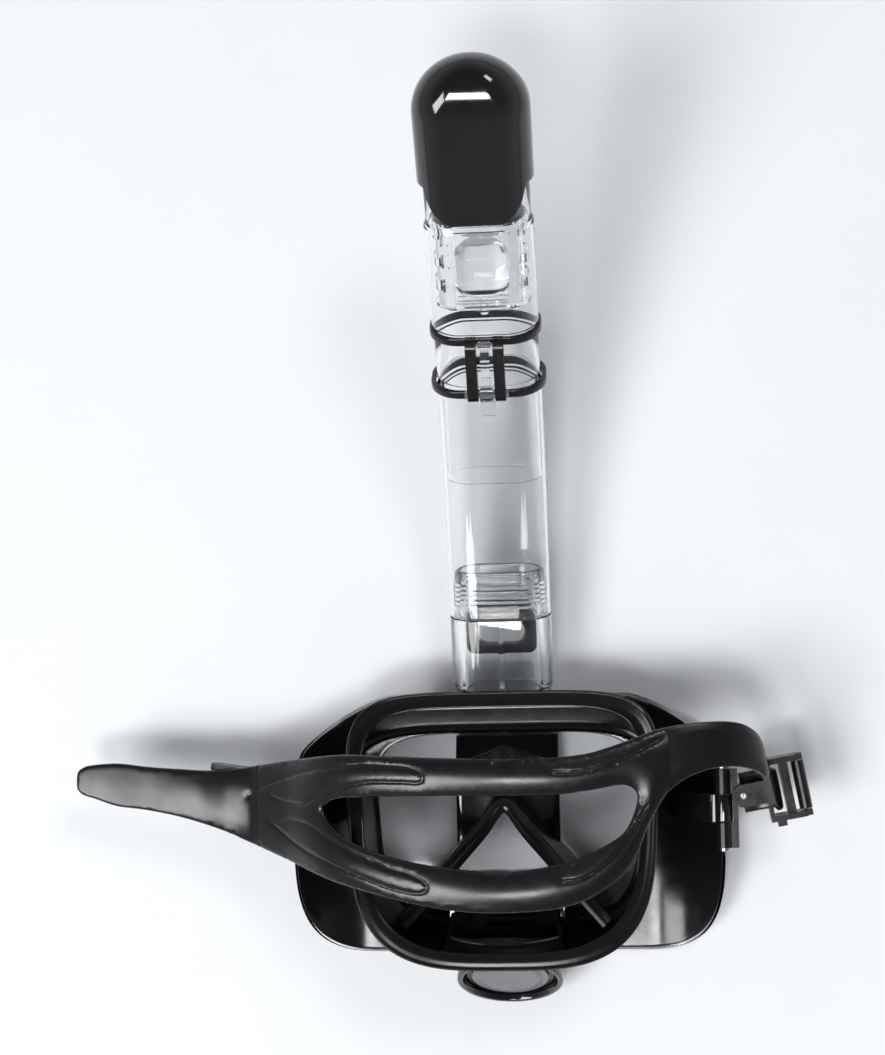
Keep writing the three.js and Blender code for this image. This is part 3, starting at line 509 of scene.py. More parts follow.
for word, side in (("left", -1), ("right", 1)):
    rim = soften(LUG, radius=2.4, count=3)
    lug = prism(f"buckle_lug_{word}", rim, SWIVEL_Y - 6.6, SWIVEL_Y + 6.6, GLOSS, "mask",
                put=lambda x, z, y, s=side: (s * x, y, z), bevel=0.9)
    eye_rings = [[(side * SWIVEL_X + x, SWIVEL_Y + y, SWIVEL_Z + z) for x, y, z in ring]
                 for ring in rod_rings(4.4, -6.6, 6.6, 0.7, hole=1.65)]
    eye = make(f"lug_eye_{word}", *skin(eye_rings, closed=True), GLOSS, "mask")


# ---------------------------------------------------------------- air duct on the lens
DUCT_HALF, DUCT_END, DUCT_FOOT, DUCT_ROUND = 26, 46, 3.4, 1.8


def duct_top(x, y):
    """Height of the cover: a low crown that falls away past a V-shaped crease."""
    crease = 41.5 - 0.38 * abs(x)
    crown = 0.9 * (1 - (x / DUCT_HALF) ** 2)
    fall = 0.55 * max(y - crease, 0)
    return 14.4 + crown - fall - 0.02 * max(-y, 0)


CUP_HALF = [(50, -38), (38, -25), (25, -10), (12, 4.5), (4.5, 14.5), (0, 17)]
half = spline(CUP_HALF, 46)


def cup_line(x):
    """The nose cup's line in plan: the duct stops at it."""
    for (x0, y0), (x1, y1) in zip(half, half[1:]):
        if x1 <= abs(x) <= x0:
            return lerp(y0, y1, (x0 - abs(x)) / (x0 - x1 or 1))
    return half[-1][1]


side_x = [DUCT_HALF, 25.8, 25.2, 24.2]
rows_x = [-x for x in side_x] + steps(-22.5, 22.5, 40) + side_x[::-1]
rows_t = [0, 0.004, 0.015, 0.04] + steps(0.07, 1, 44)
verts, faces = [], []
for t in rows_t:
    for x in rows_x:
        start = cup_line(x) + 0.9
        y = lerp(start, DUCT_END, t)
        near = min(DUCT_HALF - abs(x), (y - start) * 0.75)
        drop = DUCT_ROUND - math.sqrt(max(DUCT_ROUND ** 2 - max(DUCT_ROUND - near, 0) ** 2, 0))
        verts.append((x, y, duct_top(x, y) - drop))
wide, deep = len(rows_x), len(rows_t)
for j in range(deep - 1):
    for i in range(wide - 1):
        faces.append((j * wide + i, j * wide + i + 1, (j + 1) * wide + i + 1, (j + 1) * wide + i))
rim_ids = (list(range(wide)) + [j * wide + wide - 1 for j in range(1, deep)]
           + [(deep - 1) * wide + i for i in range(wide - 2, -1, -1)] + [j * wide for j in range(deep - 2, 0, -1)])
base = len(verts)
verts += [(verts[i][0], verts[i][1], DUCT_FOOT) for i in rim_ids]
total = len(rim_ids)
faces += [(rim_ids[i], base + i, base + (i + 1) % total, rim_ids[(i + 1) % total]) for i in range(total)]
faces.append(tuple(base + i for i in range(total)))
duct = make("air_duct_shell", verts, faces, GLOSS, "mask")
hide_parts("air_duct_cover")


# ---------------------------------------------------------------- face skirt
def skirt_station(half_w, top, bottom, taper, share, lift):
    """A ring of the skirt; share runs from 0 at the foot to 1 at the lip."""
    out = []
    for x, y in face_ring(half_w, top, bottom, taper):
        out.append((x, y, lerp(FOOT_Z, lip_z(y), share) + lift))
    return out


def grown(face, by):
    """A face ring's numbers with every side moved outwards."""
    half_w, top, bottom, taper = face
    return half_w + by, top + by, bottom - by, taper


def wall_face(share, rise):
    return (lerp(69, 74, share), 50.5 + rise, -53.5 - rise, lerp(0.05, 0.06, share))


LIP_FACE = (74, LIP_TOP, LIP_BOTTOM, 0.06)
NECK = wall_face(0.85, 2.2)
SKIRT_WALL = 2.2
stations = [
    (*wall_face(0, 0), 0, 0),
    (*wall_face(0.3, 0.6), 0.3, 0),
    (*wall_face(0.6, 1.3), 0.6, 0),
    (*NECK, 0.85, 0),
    (*LIP_FACE, 1, -0.5),
    (*grown(LIP_FACE, -0.9), 1, 0.5),
    (*grown(LIP_FACE, -1.6), 1, -0.1),
    (*grown(LIP_FACE, -4.5), 1, 0.7),
    (*grown(LIP_FACE, -8), 1, 0.5),
    (*grown(LIP_FACE, -8), 1, -1.2),
    (*grown(LIP_FACE, -2.8), 1, -2.4),
    (*grown(NECK, -SKIRT_WALL), 0.85, 1),
    (*grown(wall_face(0.6, 1.3), -SKIRT_WALL), 0.6, 0),
    (*grown(wall_face(0.3, 0.6), -SKIRT_WALL), 0.3, 0),
    (*grown(wall_face(0, 0), -SKIRT_WALL), 0, 0),
]
smooth_run = soften(stations, share=0.32, count=4)
skirt = make("skirt_shell", *skin([skirt_station(*s) for s in smooth_run], closed=True), SKIRT, "mask", angle=50)
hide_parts("face_skirt")


# ---------------------------------------------------------------- nose and mouth cup
path = half + [(-x, y) for x, y in reversed(half[:-1])]
rings = []
for i, (x, y) in enumerate(path):
    x0, y0 = path[max(i - 1, 0)]
    x1, y1 = path[min(i + 1, len(path) - 1)]
    out = Vector((-(y1 - y0), x1 - x0)).normalized()
    if out.y < 0:
        out.negate()
    z = lerp(45, 66, (17 - y) / 55)  # the cup rises from its peak to its arms
    foot = 6.3 if y < -23.5 else 3.5  # its arms stand on the chin housing
    profile = [(0, foot), (2.2, foot), (2.2, foot + 12), (2.2, z - 1.2), (1.6, z + 0.2), (-1.8, z + 1.6),
               (-4.8, z + 1.0), (-5.4, z - 0.2), (-4.6, z - 0.9), (-0.8, z - 1.6), (0, z - 4), (0, foot + 12)]
    rings.append([(x + out.x * o, y + out.y * o, h) for o, h in soften(profile, radius=0.7, count=2)])
cup = make("nose_cup", *skin(rings), SKIRT, "mask", angle=50)
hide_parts("orinasal_cup")


def bead_rings(points, radius, count=14):
    """Rings of a round bead along a path."""
    rings = []
    for i, p in enumerate(points):
        along = (Vector(points[min(i + 1, len(points) - 1)]) - Vector(points[max(i - 1, 0)])).normalized()
        side = along.cross(Vector((0, 0, 1))).normalized()
        up = side.cross(along)
        size = radius * (0.3 if i in (0, len(points) - 1) else 1)
        rings.append([tuple(Vector(p) + (side * math.cos(a) + up * math.sin(a)) * size)
                      for a in (n / count * math.tau for n in range(count))])
    return rings


# beads that stiffen the chin pocket of the skirt
BEADS = {
    "chin_bead_left": [(-25, -36, 52), (-26, -41, 60), (-27, -46, 68), (-27.5, -50, 77), (-27.5, -53, 84)],
    "chin_bead_right": [(25, -36, 52), (26, -41, 60), (27, -46, 68), (27.5, -50, 77), (27.5, -53, 84)],
    "chin_bead_arc": [(-27, -45.5, 66), (-20, -46.6, 68), (-10, -47.8, 70), (0, -48.2, 70.5), (10, -47.8, 70),
                      (20, -46.6, 68), (27, -45.5, 66)],
}
BEAD_RADIUS = 1.3
for word, points in BEADS.items():
    bead = make(word, *skin(bead_rings(spline(points, 40), BEAD_RADIUS)), SKIRT, "mask")
POCKET_HALF = 27.5


def pocket_point(x, t):
    """The pocket's front, from its bowed lower edge at t = 0 up to the lip at t = 1."""
    y = -46.5 - 4.5 * t + 1.2 * (x / 28) ** 2 * (1 - t)
    return x, y, lerp(64, 83, t) - 2.5 * math.cos(x / 28 * 1.4) * (1 - t)


pocket_rows = [[pocket_point(x, t) for x in steps(-POCKET_HALF, POCKET_HALF, 40)] for t in steps(0, 1, 16)]
pocket_back = [[(x, y - 1.6, z - 1.2) for x, y, z in row] for row in pocket_rows]
pocket_rings = [row + back[::-1] for row, back in zip(pocket_rows, pocket_back)]
pocket = make("chin_pocket", *skin(pocket_rings), SKIRT, "mask")

# ---------------------------------------------------------------- purge valve
PURGE_Y, PURGE_Z, PURGE_TILT, PURGE_BACK = -73.6, 30, math.radians(34), -56.6


def on_purge(x, h, r):
    """Local +h looks out of the valve; 180 - tilt degrees about x stands it on the chin."""
    a = math.pi - PURGE_TILT
    return x, PURGE_Y + h * math.cos(a) - r * math.sin(a), PURGE_Z + h * math.sin(a) + r * math.cos(a)


def lathe(name, profile, look, radius=0.5, cut=False, count=96):
    """A turned ring or disc of the purge valve; cut takes off what is inside the chin."""
    run = soften(profile, radius=radius, count=3)
    rings = [[on_purge(r * math.sin(a), h, r * math.cos(a)) for a in (i / count * math.tau for i in range(count))]
             for r, h in run]
    obj = make(name, *skin(rings, closed=True), look, "mask")
    if cut:
        cutter = bmesh.new()
        cutter.from_mesh(obj.data)
        parts = cutter.verts[:] + cutter.edges[:] + cutter.faces[:]
        done = bmesh.ops.bisect_plane(cutter, geom=parts, plane_co=(0, PURGE_BACK * MM, 0), plane_no=(0, 1, 0),
                                      clear_outer=True)
        rim = [e for e in done["geom_cut"] if isinstance(e, bmesh.types.BMEdge)]
        bmesh.ops.triangle_fill(cutter, edges=rim, use_beauty=True)
        cutter.to_mesh(obj.data)
        cutter.free()
        obj.data.set_sharp_from_angle(angle=math.radians(35))
    return obj


housing = lathe("purge_ring", [(16, -20), (20, -20), (20, -12), (26.2, -6.5), (26.2, -0.2), (25.4, 0.4), (23.6, 0.4),
                               (22.6, -1.6), (22.2, -5.4), (18, -5.4), (16, -12)], GLOSS, cut=True)
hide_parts("purge_housing")
DISC = [(0.01, -1.1), (14.6, -1.15), (15.2, -1.5), (16.4, -1.9), (19, -2.0), (19, -2.8), (1.2, -2.8), (1.2, -6.4),
        (0.01, -6.4)]
# the disc's grey base colour is a painted reflection, not the silicone's own colour
flap = lathe("purge_disc", DISC, REFLECTION_GREY, radius=0.3)
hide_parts("purge_flap")


# ---------------------------------------------------------------- connector and main tube
connector = track("connector_shell", wall_profile([
    (-5, 24.2, 14.7, 6), (5.9, 24.2, 14.7, 6), (6, 25, 15.5, 6), (43.2, 25, 15.5, 6),
    (43.3, 21.2, 11.7, 3), (66.4, 21.2, 11.7, 2)]), LOW, CLEAR, "mask", radius=0.5)
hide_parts("snorkel_connector")

RIB = ((-0.3, 0.6), (0.3, 1.3), (1.3, 1.3), (2, 0.6))
ribs = [(s + ds, 21.5 + t, 12 + t) for s in steps(49, 58.6, 4) for ds, t in RIB]
seal_out = [(44.2, 22.1, 12.6), *ribs, (65.4, 22.1, 12.6)]
seal = track("spigot_gasket", seal_out + [(65.4, 21.5, 12), (44.2, 21.5, 12)], LOW, MILKY, "mask", radius=0.25)
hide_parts("spigot_seal")

tube = track("tube_shell", wall_profile([(43.6, 25, 15.5, 1.8), (163.4, 25, 15.5, 1.8)]), on_tube, CLEAR,
             "snorkel_tube", radius=0.5, longest=3.2)
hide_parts("main_tube")
sleeve = track("sleeve_shell", wall_profile([(114, 22.9, 13.4, 1.4), (163, 22.9, 13.4, 1.4)]), on_tube, THIN_CLEAR,
               "snorkel_tube", radius=0.4, longest=3.2)
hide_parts("joint_sleeve")
lower = track("lower_collar", [(163.8, 27.2, 17.2), (167.8, 27.2, 17.2), (167.8, 25.2, 15.3), (163.8, 25.2, 15.3)],
              HIGH, SATIN, "snorkel_tube", radius=0.9)
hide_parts("lower_ring")

# painted shade: a dark ring put where the thick clear connector looks dark from refraction, not a real part
DARK_RING_S = 35
dark_ring_out = [(x, DARK_RING_S + y) for x, y in racetrack(17.2, 11, 4, 6)]
dark_ring_in = [(x, DARK_RING_S + y) for x, y in racetrack(12, 6.2, 6, 8)]
dark_ring = prism("connector_painted_dark_ring", dark_ring_out, -2.5, 3.5, PAINTED_DARK, "mask", put=LOW,
               bevel=0.8, holes=[dark_ring_in])

# ---------------------------------------------------------------- folding dry top
upper = track("upper_collar", [(191.6, 26, 16.9), (195.6, 26, 16.9), (195.6, 24.2, 15.2), (191.6, 24.2, 15.2)],
              HIGH, SATIN, "dry_top", radius=0.9)
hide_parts("upper_ring")
ARM = [(195.6, 14.3), (195.6, 19.4), (192.6, 21.4), (175, 23.6), (168.2, 24.4), (165.2, 22.8), (164.8, 20.4),
       (166.2, 18.2), (168.4, 17.8), (173.2, 17.8), (191.6, 16.6), (191.6, 14.3)]
for word, x in (("left", -6.4), ("right", 6.4)):
    arm = prism(f"hinge_arm_{word}", soften(ARM, radius=1.2, count=3), x - 2.5, x + 2.5, SATIN, "dry_top",
                put=lambda s, d, x: HIGH(x, s, d), bevel=0.9)

coupling = track("coupling_shell", wall_profile([(168.6, 24.4, 14.9, 2), (191.2, 24.4, 14.9, 2)]), HIGH, CLEAR,
                 "dry_top", radius=0.4)
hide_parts("ring_coupling")
top_housing = track("top_housing_shell", wall_profile([
    (196, 25, 15.3, 1.8), (246.4, 25, 15.3, 1.8), (249.4, 23.9, 14.3, 1.2), (272, 23.9, 14.3, 1.2)]),
    HIGH, CLEAR, "dry_top", radius=0.5)
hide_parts("dry_top_housing")
float_run = soften([(211.6, 0.01, 0.01), (211.6, 9.5, 6.5), (214.6, 12.5, 9.5), (232.6, 12.5, 9.5), (236.6, 7.5, 5.5),
                    (236.6, 0.01, 0.01)], radius=1.6, closed=False)
float_body = make("float_shell", *skin([ring_at(*p, HIGH, 9) for p in float_run]), THIN_CLEAR, "float")
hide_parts("float")

CAP_W, CAP_D, CAP_END, PART_SIDE, PART_X = 26.1, 16.5, 324.4, 268.7, 22.4
TONGUE_END = 249.4
CAP_WALL, DOME_RISE = 1.9, 24
part_curve = bezier((-PART_X, PART_SIDE), (0.8 - PART_X, 257), (-15, TONGUE_END), (0, TONGUE_END), 40)


def parting(x, d):
    """Where the cap begins: a tongue on the wearer's side, level elsewhere."""
    if d < 1 or abs(x) >= PART_X:
        return PART_SIDE
    for (x0, s0), (x1, s1) in zip(part_curve, part_curve[1:]):
        if x0 <= -abs(x) <= x1:
            return lerp(s0, s1, (-abs(x) - x0) / (x1 - x0))
    return TONGUE_END


def cap_ring(inset, level, t, ease=0.0):
    """Level 0..1 runs up the wall from the parting; t 0..1 over the dome."""
    k = math.sqrt(max(1 - t * t, 0))
    w, d = (CAP_W - inset) * k, (CAP_D - inset) * k ** 0.8
    end = CAP_END - (2 if inset else 0)
    out = []
    for (x, y), (x1, y1) in zip(racetrack(w, d, count=14), racetrack(CAP_W, CAP_D, count=14)):
        low = parting(x1, y1) + ease
        s = lerp(low, end - DOME_RISE, level) if t == 0 else end - DOME_RISE + DOME_RISE * t
        out.append(HIGH(x, s, y))
    return out


wall = [0, 0.02, 0.05] + steps(0.1, 1, 9)
dome = [math.sin(a) for a in steps(0.06, math.pi / 2 - 0.012, 22)]
outside = [cap_ring(0.35, 0, 0), cap_ring(0.08, 0, 0, 0.12)] + [cap_ring(0, v, 0, 0.35) for v in wall]
outside += [cap_ring(0, 1, t) for t in dome]
inside_rings = [cap_ring(CAP_WALL, v, 0, 0.1) for v in wall] + [cap_ring(CAP_WALL, 1, t) for t in dome]
verts, faces = skin(outside, caps=False)
more_verts, more_faces = skin(inside_rings, caps=False)
offset, count = len(verts), len(outside[0])
verts += more_verts
faces += [tuple(i + offset for i in f) for f in more_faces]
faces += [(j, (j + 1) % count, offset + (j + 1) % count, offset + j) for j in range(count)]
for ring_start in (offset - count, len(verts) - count):
    faces.append(tuple(ring_start + j for j in range(count)))
cap = make("cap_shell", verts, faces, GLOSS, "dry_top")
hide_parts("cap")


# ---------------------------------------------------------------- strap
THICK = 2.6
CROWN = 1.8
GRID = 1.5
GROOVE_DEPTH, GROOVE_HALF = 0.8, 0.8
STRAP_LINE = spline([(-122, 54), (-104, 66), (-80, 85), (-42, 98), (0, 104), (42, 102.5), (80, 97), (104, 89),
                     (116, 82)], 120)
TAIL_LINE = spline([(-112, 60.4), (-119, 56.2), (-122, 54.6), (-126.5, 53.4), (-134, 52.4), (-150, 52.6), (-175, 50),
                    (-197, 47), (-214, 46)], 90)[::-1]
BAND_TOP = spline([(-119, 37.2), (-95, 41.6), (-74, 44.3), (-50, 43.9), (4, 42.7), (30, 43.1), (44, 44.8), (59, 49.2),
                   (74, 54.2), (84, 56.1)], 110)
BAND_BOTTOM = spline([(84, 29.7), (79, 26), (72.5, 16.5), (69, 10), (62.6, -4.6),
                      (54.7, -13.4), (41.7, -21.6), (28, -25.9), (2, -27.8), (-18, -27.2), (-37, -24.7), (-56, -20.8),
                      (-82, -14.5), (-102, -8.3), (-119, -2.8)], 170)
BAND_SPLIT = spline([(-84, 19), (-79, 23), (-59, 25), (-19, 25.9), (27, 25.9), (43, 27.5), (60.4, 29.2), (64.6, 25),
                     (61.3, 13), (57, 7), (42.3, -1.2), (26.7, -5.9), (2.4, -9.2), (-20, -7.5), (-41, -4.5),
                     (-59.6, -0.1), (-74.8, 6.4), (-82.3, 13.5)], 220, closed=True)
TAIL_EDGE = spline([(-119, 37.2), (-128, 35.7), (-142, 34.6), (-156, 35.3), (-176, 36.7), (-191, 38.3), (-204, 37.6),
                    (-208, 36.8), (-211.6, 34.4), (-212.4, 29.9), (-212, 25.5), (-209.5, 23), (-203, 20.8),
                    (-192.5, 17.3), (-178, 15.5), (-163, 12.8), (-149, 9.1), (-134, 3.6), (-128, 0.8), (-119, -2.8)],
                   220)
GROOVES = [
    [(-124.1, 22.2), (-112.7, 28.5), (-100.3, 32.7), (-88, 36.6), (-76.3, 38.6), (-61.7, 40.2), (-51, 39.9),
     (-41.7, 39.2), (-35.6, 37.1), (-33.6, 34.4), (-35.3, 32.1), (-41.9, 32.1), (-51.2, 32.2), (-59.8, 32),
     (-69.2, 30.1), (-78.8, 27.5), (-85.9, 24.3), (-92.5, 20.3), (-98.2, 20.2), (-104.7, 20.8), (-110.8, 22.9)],
    [(-111.5, 10.1), (-105.1, 5.6), (-97.1, 0.8), (-89, -2.9), (-79.6, -6.6), (-70.9, -10), (-60.9, -13.2),
     (-52.4, -16.3), (-43.9, -18.2), (-36.9, -18.9), (-33.5, -17.5), (-32.7, -15.8), (-35.4, -12.8), (-42.9, -9.5),
     (-49.3, -8.1), (-60, -4.2), (-70, -0.4), (-78, 3.4), (-84, 6.8), (-88, 9.6), (-98, 12), (-111.5, 10.1)],
    [(27, 36.6), (36, 36.2), (46, 37.6), (57, 41.2), (68, 46.4), (76, 50.4)],
    [(30, -13.2), (38, -12.4), (47, -7), (56, 1.4), (63, 10.4), (69, 20.2)],
]
GROOVES = [spline(g, len(g) * 9) for g in GROOVES]


def distances(points, lines):
    """How far each point is from the nearest of some polylines."""
    best = np.full(len(points), 1e9)
    for line in lines:
        a, b = np.array(line[:-1]), np.array(line[1:])
        run = b - a
        length = np.maximum((run ** 2).sum(1), 1e-12)
        for start in range(0, len(points), 4000):
            p = points[start:start + 4000, None, :]
            t = np.clip(((p - a) * run).sum(2) / length, 0, 1)
            gap = np.sqrt(((p - (a + t[..., None] * run)) ** 2).sum(2)).min(1)
            best[start:start + 4000] = np.minimum(best[start:start + 4000], gap)
    return best


def beside(line, offset):
    """The same line, moved sideways."""
    out = []
    for i, (x, y) in enumerate(line):
        x0, y0 = line[max(i - 1, 0)]
        x1, y1 = line[min(i + 1, len(line) - 1)]
        length = math.hypot(x1 - x0, y1 - y0) or 1
        out.append((x - (y1 - y0) / length * offset, y + (x1 - x0) / length * offset))
    return out


def strap_piece(name, outline, holes, edges, line):
    """A thick soft sheet over a line of [x, z], with round edges and sunk grooves."""
    loops = [outline, *holes]
    fixed = [p for loop in loops for p in loop]
    bounds = []
    at = 0
    for loop in loops:
        bounds += [(at + i, at + (i + 1) % len(loop)) for i in range(len(loop))]
        at += len(loop)
    grooves = [g for g in GROOVES if any(inside(p, outline) for p in g[::6])]
    extra = [p for e in edges for off in (0.15, 0.5, 1.0, 1.6, -0.15, -0.5, -1.0, -1.6) for p in beside(e, off)]
    extra += [p for g in grooves for off in (-1.1, -0.7, -0.35, 0, 0.35, 0.7, 1.1) for p in beside(g, off)]
    xs, ys = zip(*outline)
    rows = int((max(ys) - min(ys)) / GRID)
    extra += [(min(xs) + GRID * (i + 0.5 * (j % 2)), min(ys) + GRID * j)
              for j in range(rows + 1) for i in range(int((max(xs) - min(xs)) / GRID) + 1)]
    wanted = np.array([p for p in extra if inside(p, outline) and not any(inside(p, h) for h in holes)])
    gap = distances(wanted, [loop + loop[:1] for loop in loops])
    wanted = wanted[gap > 0.13]
    cells, kept = set(), []
    for p in wanted:
        key = (round(p[0] / 0.3), round(p[1] / 0.3))
        if key not in cells:
            cells.add(key)
            kept.append(tuple(p))
    flat = [Vector(p) for p in fixed + kept]
    pts, _, tris = delaunay_2d_cdt(flat, bounds, [], 1, 1e-5)[:3]
    tris = [t for t in tris if inside(centre(pts, t), outline) and not any(inside(centre(pts, t), h) for h in holes)]
    where = np.array([tuple(p) for p in pts])
    from_edge = distances(where, edges)
    r = THICK / 2
    near = np.clip(from_edge, 0, r)
    rise = np.sqrt(np.maximum(r * r - (r - near) ** 2, 0))
    # the strap is full where it splits and thins out to a flat tail
    swell = np.clip((where[:, 0] + 178) / 45, 0.12, 1)
    top = rise - r + CROWN * swell * (1 - np.exp(-(np.clip(from_edge, 0, 30) / 5.5) ** 1.5))
    if grooves:
        top -= GROOVE_DEPTH * np.exp(-(distances(where, grooves) / GROOVE_HALF) ** 2)
    pairs = np.array([(t[i], t[i - 1]) for t in tris for i in range(3)])
    inner = from_edge > 0.6
    for _ in range(4):
        total, links = np.zeros(len(top)), np.zeros(len(top))
        for a, b in ((0, 1), (1, 0)):
            np.add.at(total, pairs[:, a], top[pairs[:, b]])
            np.add.at(links, pairs[:, a], 1)
        top = np.where(inner, 0.5 * top + 0.5 * total / np.maximum(links, 1), top)
    bottom = -r - rise
    line = sorted(line)
    lx, lz = np.array([p[0] for p in line]), np.array([p[1] for p in line])
    slope = np.gradient(lz, lx)
    base = np.interp(where[:, 0], lx, lz)
    tilt = np.arctan(np.interp(where[:, 0], lx, slope))
    count = len(pts)
    verts = [(where[i, 0] - math.sin(tilt[i]) * h[i], where[i, 1], base[i] + math.cos(tilt[i]) * h[i])
             for h in (top, bottom) for i in range(count)]
    faces = [tuple(t) for t in tris] + [tuple(i + count for i in reversed(t)) for t in tris]
    faces += [(a, b, b + count, a + count) for a, b in border(tris)]
    obj = make(name, verts, faces, STRAP, angle=60)
    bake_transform(obj)
    return obj


FLAP_X, FLAP_TOP, FLAP_BOTTOM = 79, 55.2, 26.0
TAIL_X, TAIL_TOP, TAIL_BOTTOM = -119, 37.2, -2.8
tail_end = [(TAIL_X, y) for y in steps(TAIL_BOTTOM, TAIL_TOP, 28)[1:-1]]
cut_top = [p for p in BAND_TOP if p[0] < FLAP_X - 0.6] + [(FLAP_X, FLAP_TOP)]
cut_bottom = [(FLAP_X, FLAP_BOTTOM)] + [p for p in BAND_BOTTOM if p[0] < FLAP_X - 0.6]
band_loop = cut_top + [(FLAP_X, y) for y in steps(FLAP_TOP, FLAP_BOTTOM, 20)[1:-1]] + cut_bottom
band_loop += tail_end
band = strap_piece("strap_main", band_loop, [BAND_SPLIT], [cut_top, cut_bottom, BAND_SPLIT + BAND_SPLIT[:1]],
                   STRAP_LINE)
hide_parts("strap_band")

tail_loop = TAIL_EDGE + tail_end
tail = strap_piece("strap_tail", tail_loop, [], [TAIL_EDGE], TAIL_LINE)
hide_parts("strap_end_left")

# the right end curves over, turns down and goes through its buckle
TILT_RIGHT = math.radians(10)
CROSS = (115.4, 18, 44)


def in_buckle(x, y, z):
    c, s = math.cos(TILT_RIGHT), math.sin(TILT_RIGHT)
    return CROSS[0] + x * c - y * s, CROSS[1] + x * s + y * c, CROSS[2] + z


def ribbon(name, far, near, crown):
    """A strap between two edge curves in space, its thickness on the inner side."""
    rings = []
    for i, (a, b) in enumerate(zip(far, near)):
        i0, i1 = max(i - 1, 0), min(i + 1, len(far) - 1)
        a, b = Vector(a), Vector(b)
        along = Vector(far[i1]) + Vector(near[i1]) - Vector(far[i0]) - Vector(near[i0])
        across = (b - a).normalized()
        out = across.cross(along).normalized()
        width = (b - a).length
        flat = steps(1.25, width - 1.25, 12)
        rim = soften([(0, -THICK), (0, 0), (width, 0), (width, -THICK)], radius=1.25, count=5)
        half_up = -THICK / 2 - 0.01
        left = [p for p in rim if p[0] < width / 2 and p[1] > half_up]
        right = [p for p in rim if p[0] > width / 2 and p[1] > half_up]
        under_right = [p for p in rim if p[0] > width / 2 and p[1] <= half_up]
        under_left = [p for p in rim if p[0] < width / 2 and p[1] <= half_up]
        bulge = [(v, crown * (1 - (2 * v / width - 1) ** 4)) for v in flat[1:-1]]
        loop = left + bulge + right + under_right + [(v, -THICK) for v in flat[1:-1][::-1]] + under_left
        rings.append([tuple(a + across * v + out * h) for v, h in loop])
    obj = make(name, *skin(rings), STRAP, angle=50)
    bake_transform(obj)
    return obj


FLAP = [((79, 55.2, 97.2), (79, 26, 97.2)), ((84, 56.1, 96.6), (84, 29.9, 96.6)), ((90, 56.9, 95.6), (90, 33, 95.6)),
        ((99, 57.3, 93.8), (98.6, 35.6, 93.8)), ((108, 57, 91), (108.4, 36.2, 91)),
        ((114.2, 55.6, 87.6), (116.2, 35, 87)), ((119, 52.8, 83), (122, 32.4, 82)),
        ((121.6, 50.2, 79), (125, 30.2, 78.6)), (in_buckle(12.4, 28.5, 32), in_buckle(12.4, 8.9, 32))]
far_edge = spline([a for a, b in FLAP], 80)
near_edge = spline([b for a, b in FLAP], 80)
ribbon("strap_flap", far_edge, near_edge, 0.7)
turn = spline([(12.4, 32), (13.2, 26), (13.9, 20), (14.4, 16), (15.4, 9.4), (17.6, 3.4), (18, -3), (16, -8.4),
               (9.4, -10.6), (0, -10.4)], 100)
leans = [14.4 * max((z - 6) / 20, 0) for x, z in turn]
TAIL_HALF = 9.8
end_right = ribbon("strap_turn", [in_buckle(x, TAIL_HALF + v, z) for (x, z), v in zip(turn, leans)],
                   [in_buckle(x, v - TAIL_HALF, z) for (x, z), v in zip(turn, leans)], 0.15)
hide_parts("strap_end_right")

# ---------------------------------------------------------------- CAD nodes that keep their shape
KEPT = {
    "snorkel_socket": (GLOSS, 0.8), "chin_housing": (GLOSS, 0.6), "purge_seat": (SATIN, 0.3),
    "check_valve_seat_left": (GLOSS, 0.3), "check_valve_seat_right": (GLOSS, 0.3),
    "check_valve_flap_left": (MILKY, 0.2), "check_valve_flap_right": (MILKY, 0.2),
    "connector_divider": (THIN_CLEAR, 0.3), "hinge_knuckle": (CLEAR, 0.4), "fold_hinge_pin": (STEEL, 0.2),
    "float_cage": (THIN_CLEAR, 0.3), "valve_seal": (SKIRT, 0.3), "latch_pin": (STEEL, 0.15),
    "latch_lever": (CLEAR, 0.3),
}
PER_SIDE = {
    "swivel_pin": (STEEL, 0.2), "swivel_block": (SATIN, 0.9), "buckle_body": (SATIN, 0.8), "cross_pin": (STEEL, 0.3),
    "strap_roller": (SATIN, 0.4), "roller_pin": (STEEL, 0.2), "release_button": (SATIN, 0.6),
}
KEPT.update({f"{word}_{side}": finish_and_width for side in ("left", "right")
             for word, finish_and_width in PER_SIDE.items()})
for node, (look, width) in KEPT.items():
    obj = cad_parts[node]
    obj.data.materials.clear()
    obj.data.materials.append(look)
    obj.data.shade_smooth()
    obj.data.set_sharp_from_angle(angle=math.radians(30))
    add_bevel(obj, width, 2)

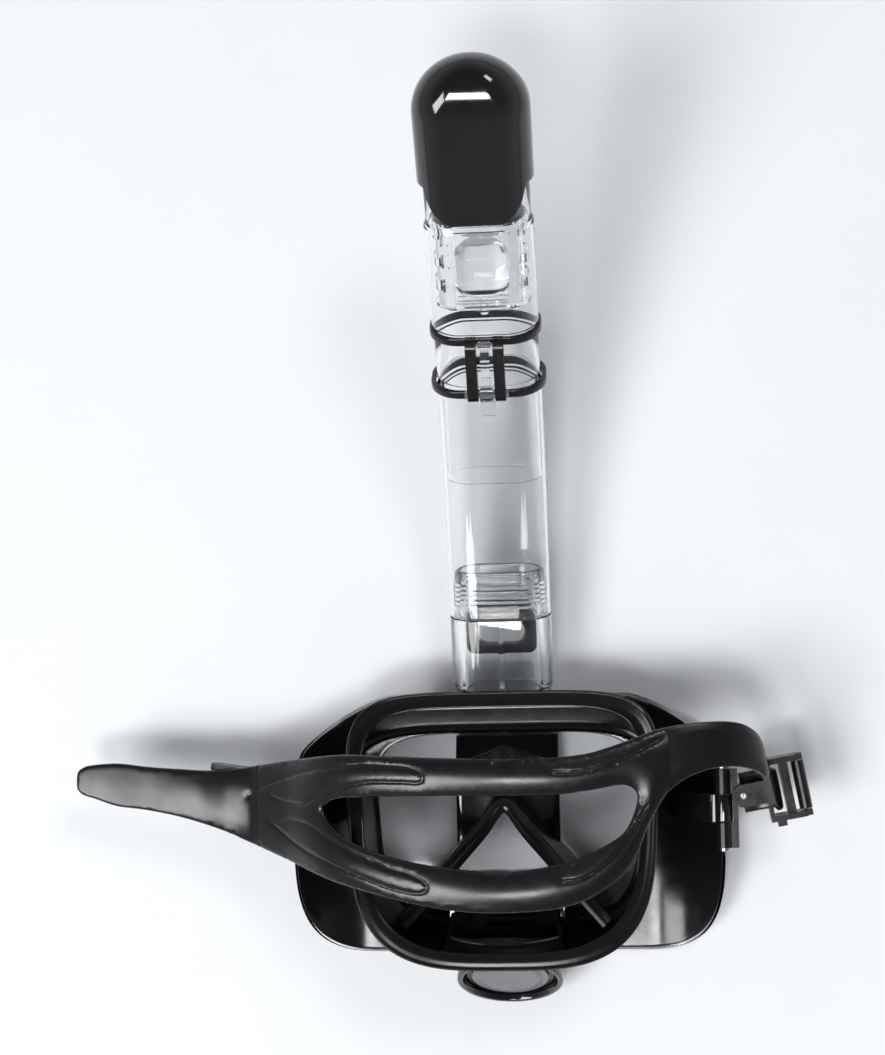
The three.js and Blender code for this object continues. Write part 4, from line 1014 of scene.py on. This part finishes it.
# ---------------------------------------------------------------- floor, light and camera
FAR, FLOOR_Z = 6000, -0.2
floor = make("floor", [(-FAR, -FAR, FLOOR_Z), (FAR, -FAR, FLOOR_Z), (FAR, FAR, FLOOR_Z), (-FAR, FAR, FLOOR_Z)],
             [(0, 1, 2, 3)], FLOOR)

world = bpy.data.worlds.new("studio")
scene.world = world
world.use_nodes = True
sky = world.node_tree
backdrop = sky.nodes["Background"]
backdrop.inputs["Strength"].default_value = 1.0
split = sky.nodes.new("ShaderNodeSeparateXYZ")
sky.links.new(sky.nodes.new("ShaderNodeTexCoord").outputs["Generated"], split.inputs["Vector"])
tones = sky.nodes.new("ShaderNodeValToRGB")
HORIZON, ZENITH = (0.15, (0.50, 0.52, 0.54, 1)), (0.85, (0.10, 0.104, 0.108, 1))
for tone, (height, colour) in zip(tones.color_ramp.elements, (HORIZON, ZENITH)):
    tone.position = height
    tone.color = colour
sky.links.new(split.outputs["Z"], tones.inputs["Fac"])
sky.links.new(tones.outputs["Color"], backdrop.inputs["Color"])


LOOK_AT = (0, 0.1, 0)


def area(name, place, size, power):
    """A rectangular soft light that looks at the mask."""
    data = bpy.data.lights.new(name, "AREA")
    data.shape = "RECTANGLE"
    data.size, data.size_y = size
    data.energy = power
    lamp = bpy.data.objects.new(name, data)
    lamp.location = place
    lamp.rotation_euler = (Vector(LOOK_AT) - Vector(place)).to_track_quat("-Z", "Y").to_euler()
    scene.collection.objects.link(lamp)


area("key", (-1.35, -0.75, 2.5), (1.2, 1.2), 57)
area("overhead", (-0.15, -0.62, 2.5), (0.55, 0.4), 21)
area("back_right", (0.75, 1.15, 2.0), (0.5, 0.5), 9)

camera_data = bpy.data.cameras.new("camera")
camera_data.sensor_fit = "VERTICAL"
camera_data.sensor_height = 36
camera_data.lens = 66.7
camera = bpy.data.objects.new("camera", camera_data)
camera.location = (0.0590, 0.1251, 0.9994)
camera.rotation_euler = [math.radians(a) for a in (1.42, 5.17, -1.406)]
scene.collection.objects.link(camera)
scene.camera = camera
scene.view_settings.view_transform = "Standard"
BOUNCES = 24  # light crosses several clear walls in a row
scene.cycles.transparent_max_bounces = BOUNCES
scene.cycles.transmission_bounces = BOUNCES
scene.cycles.max_bounces = BOUNCES
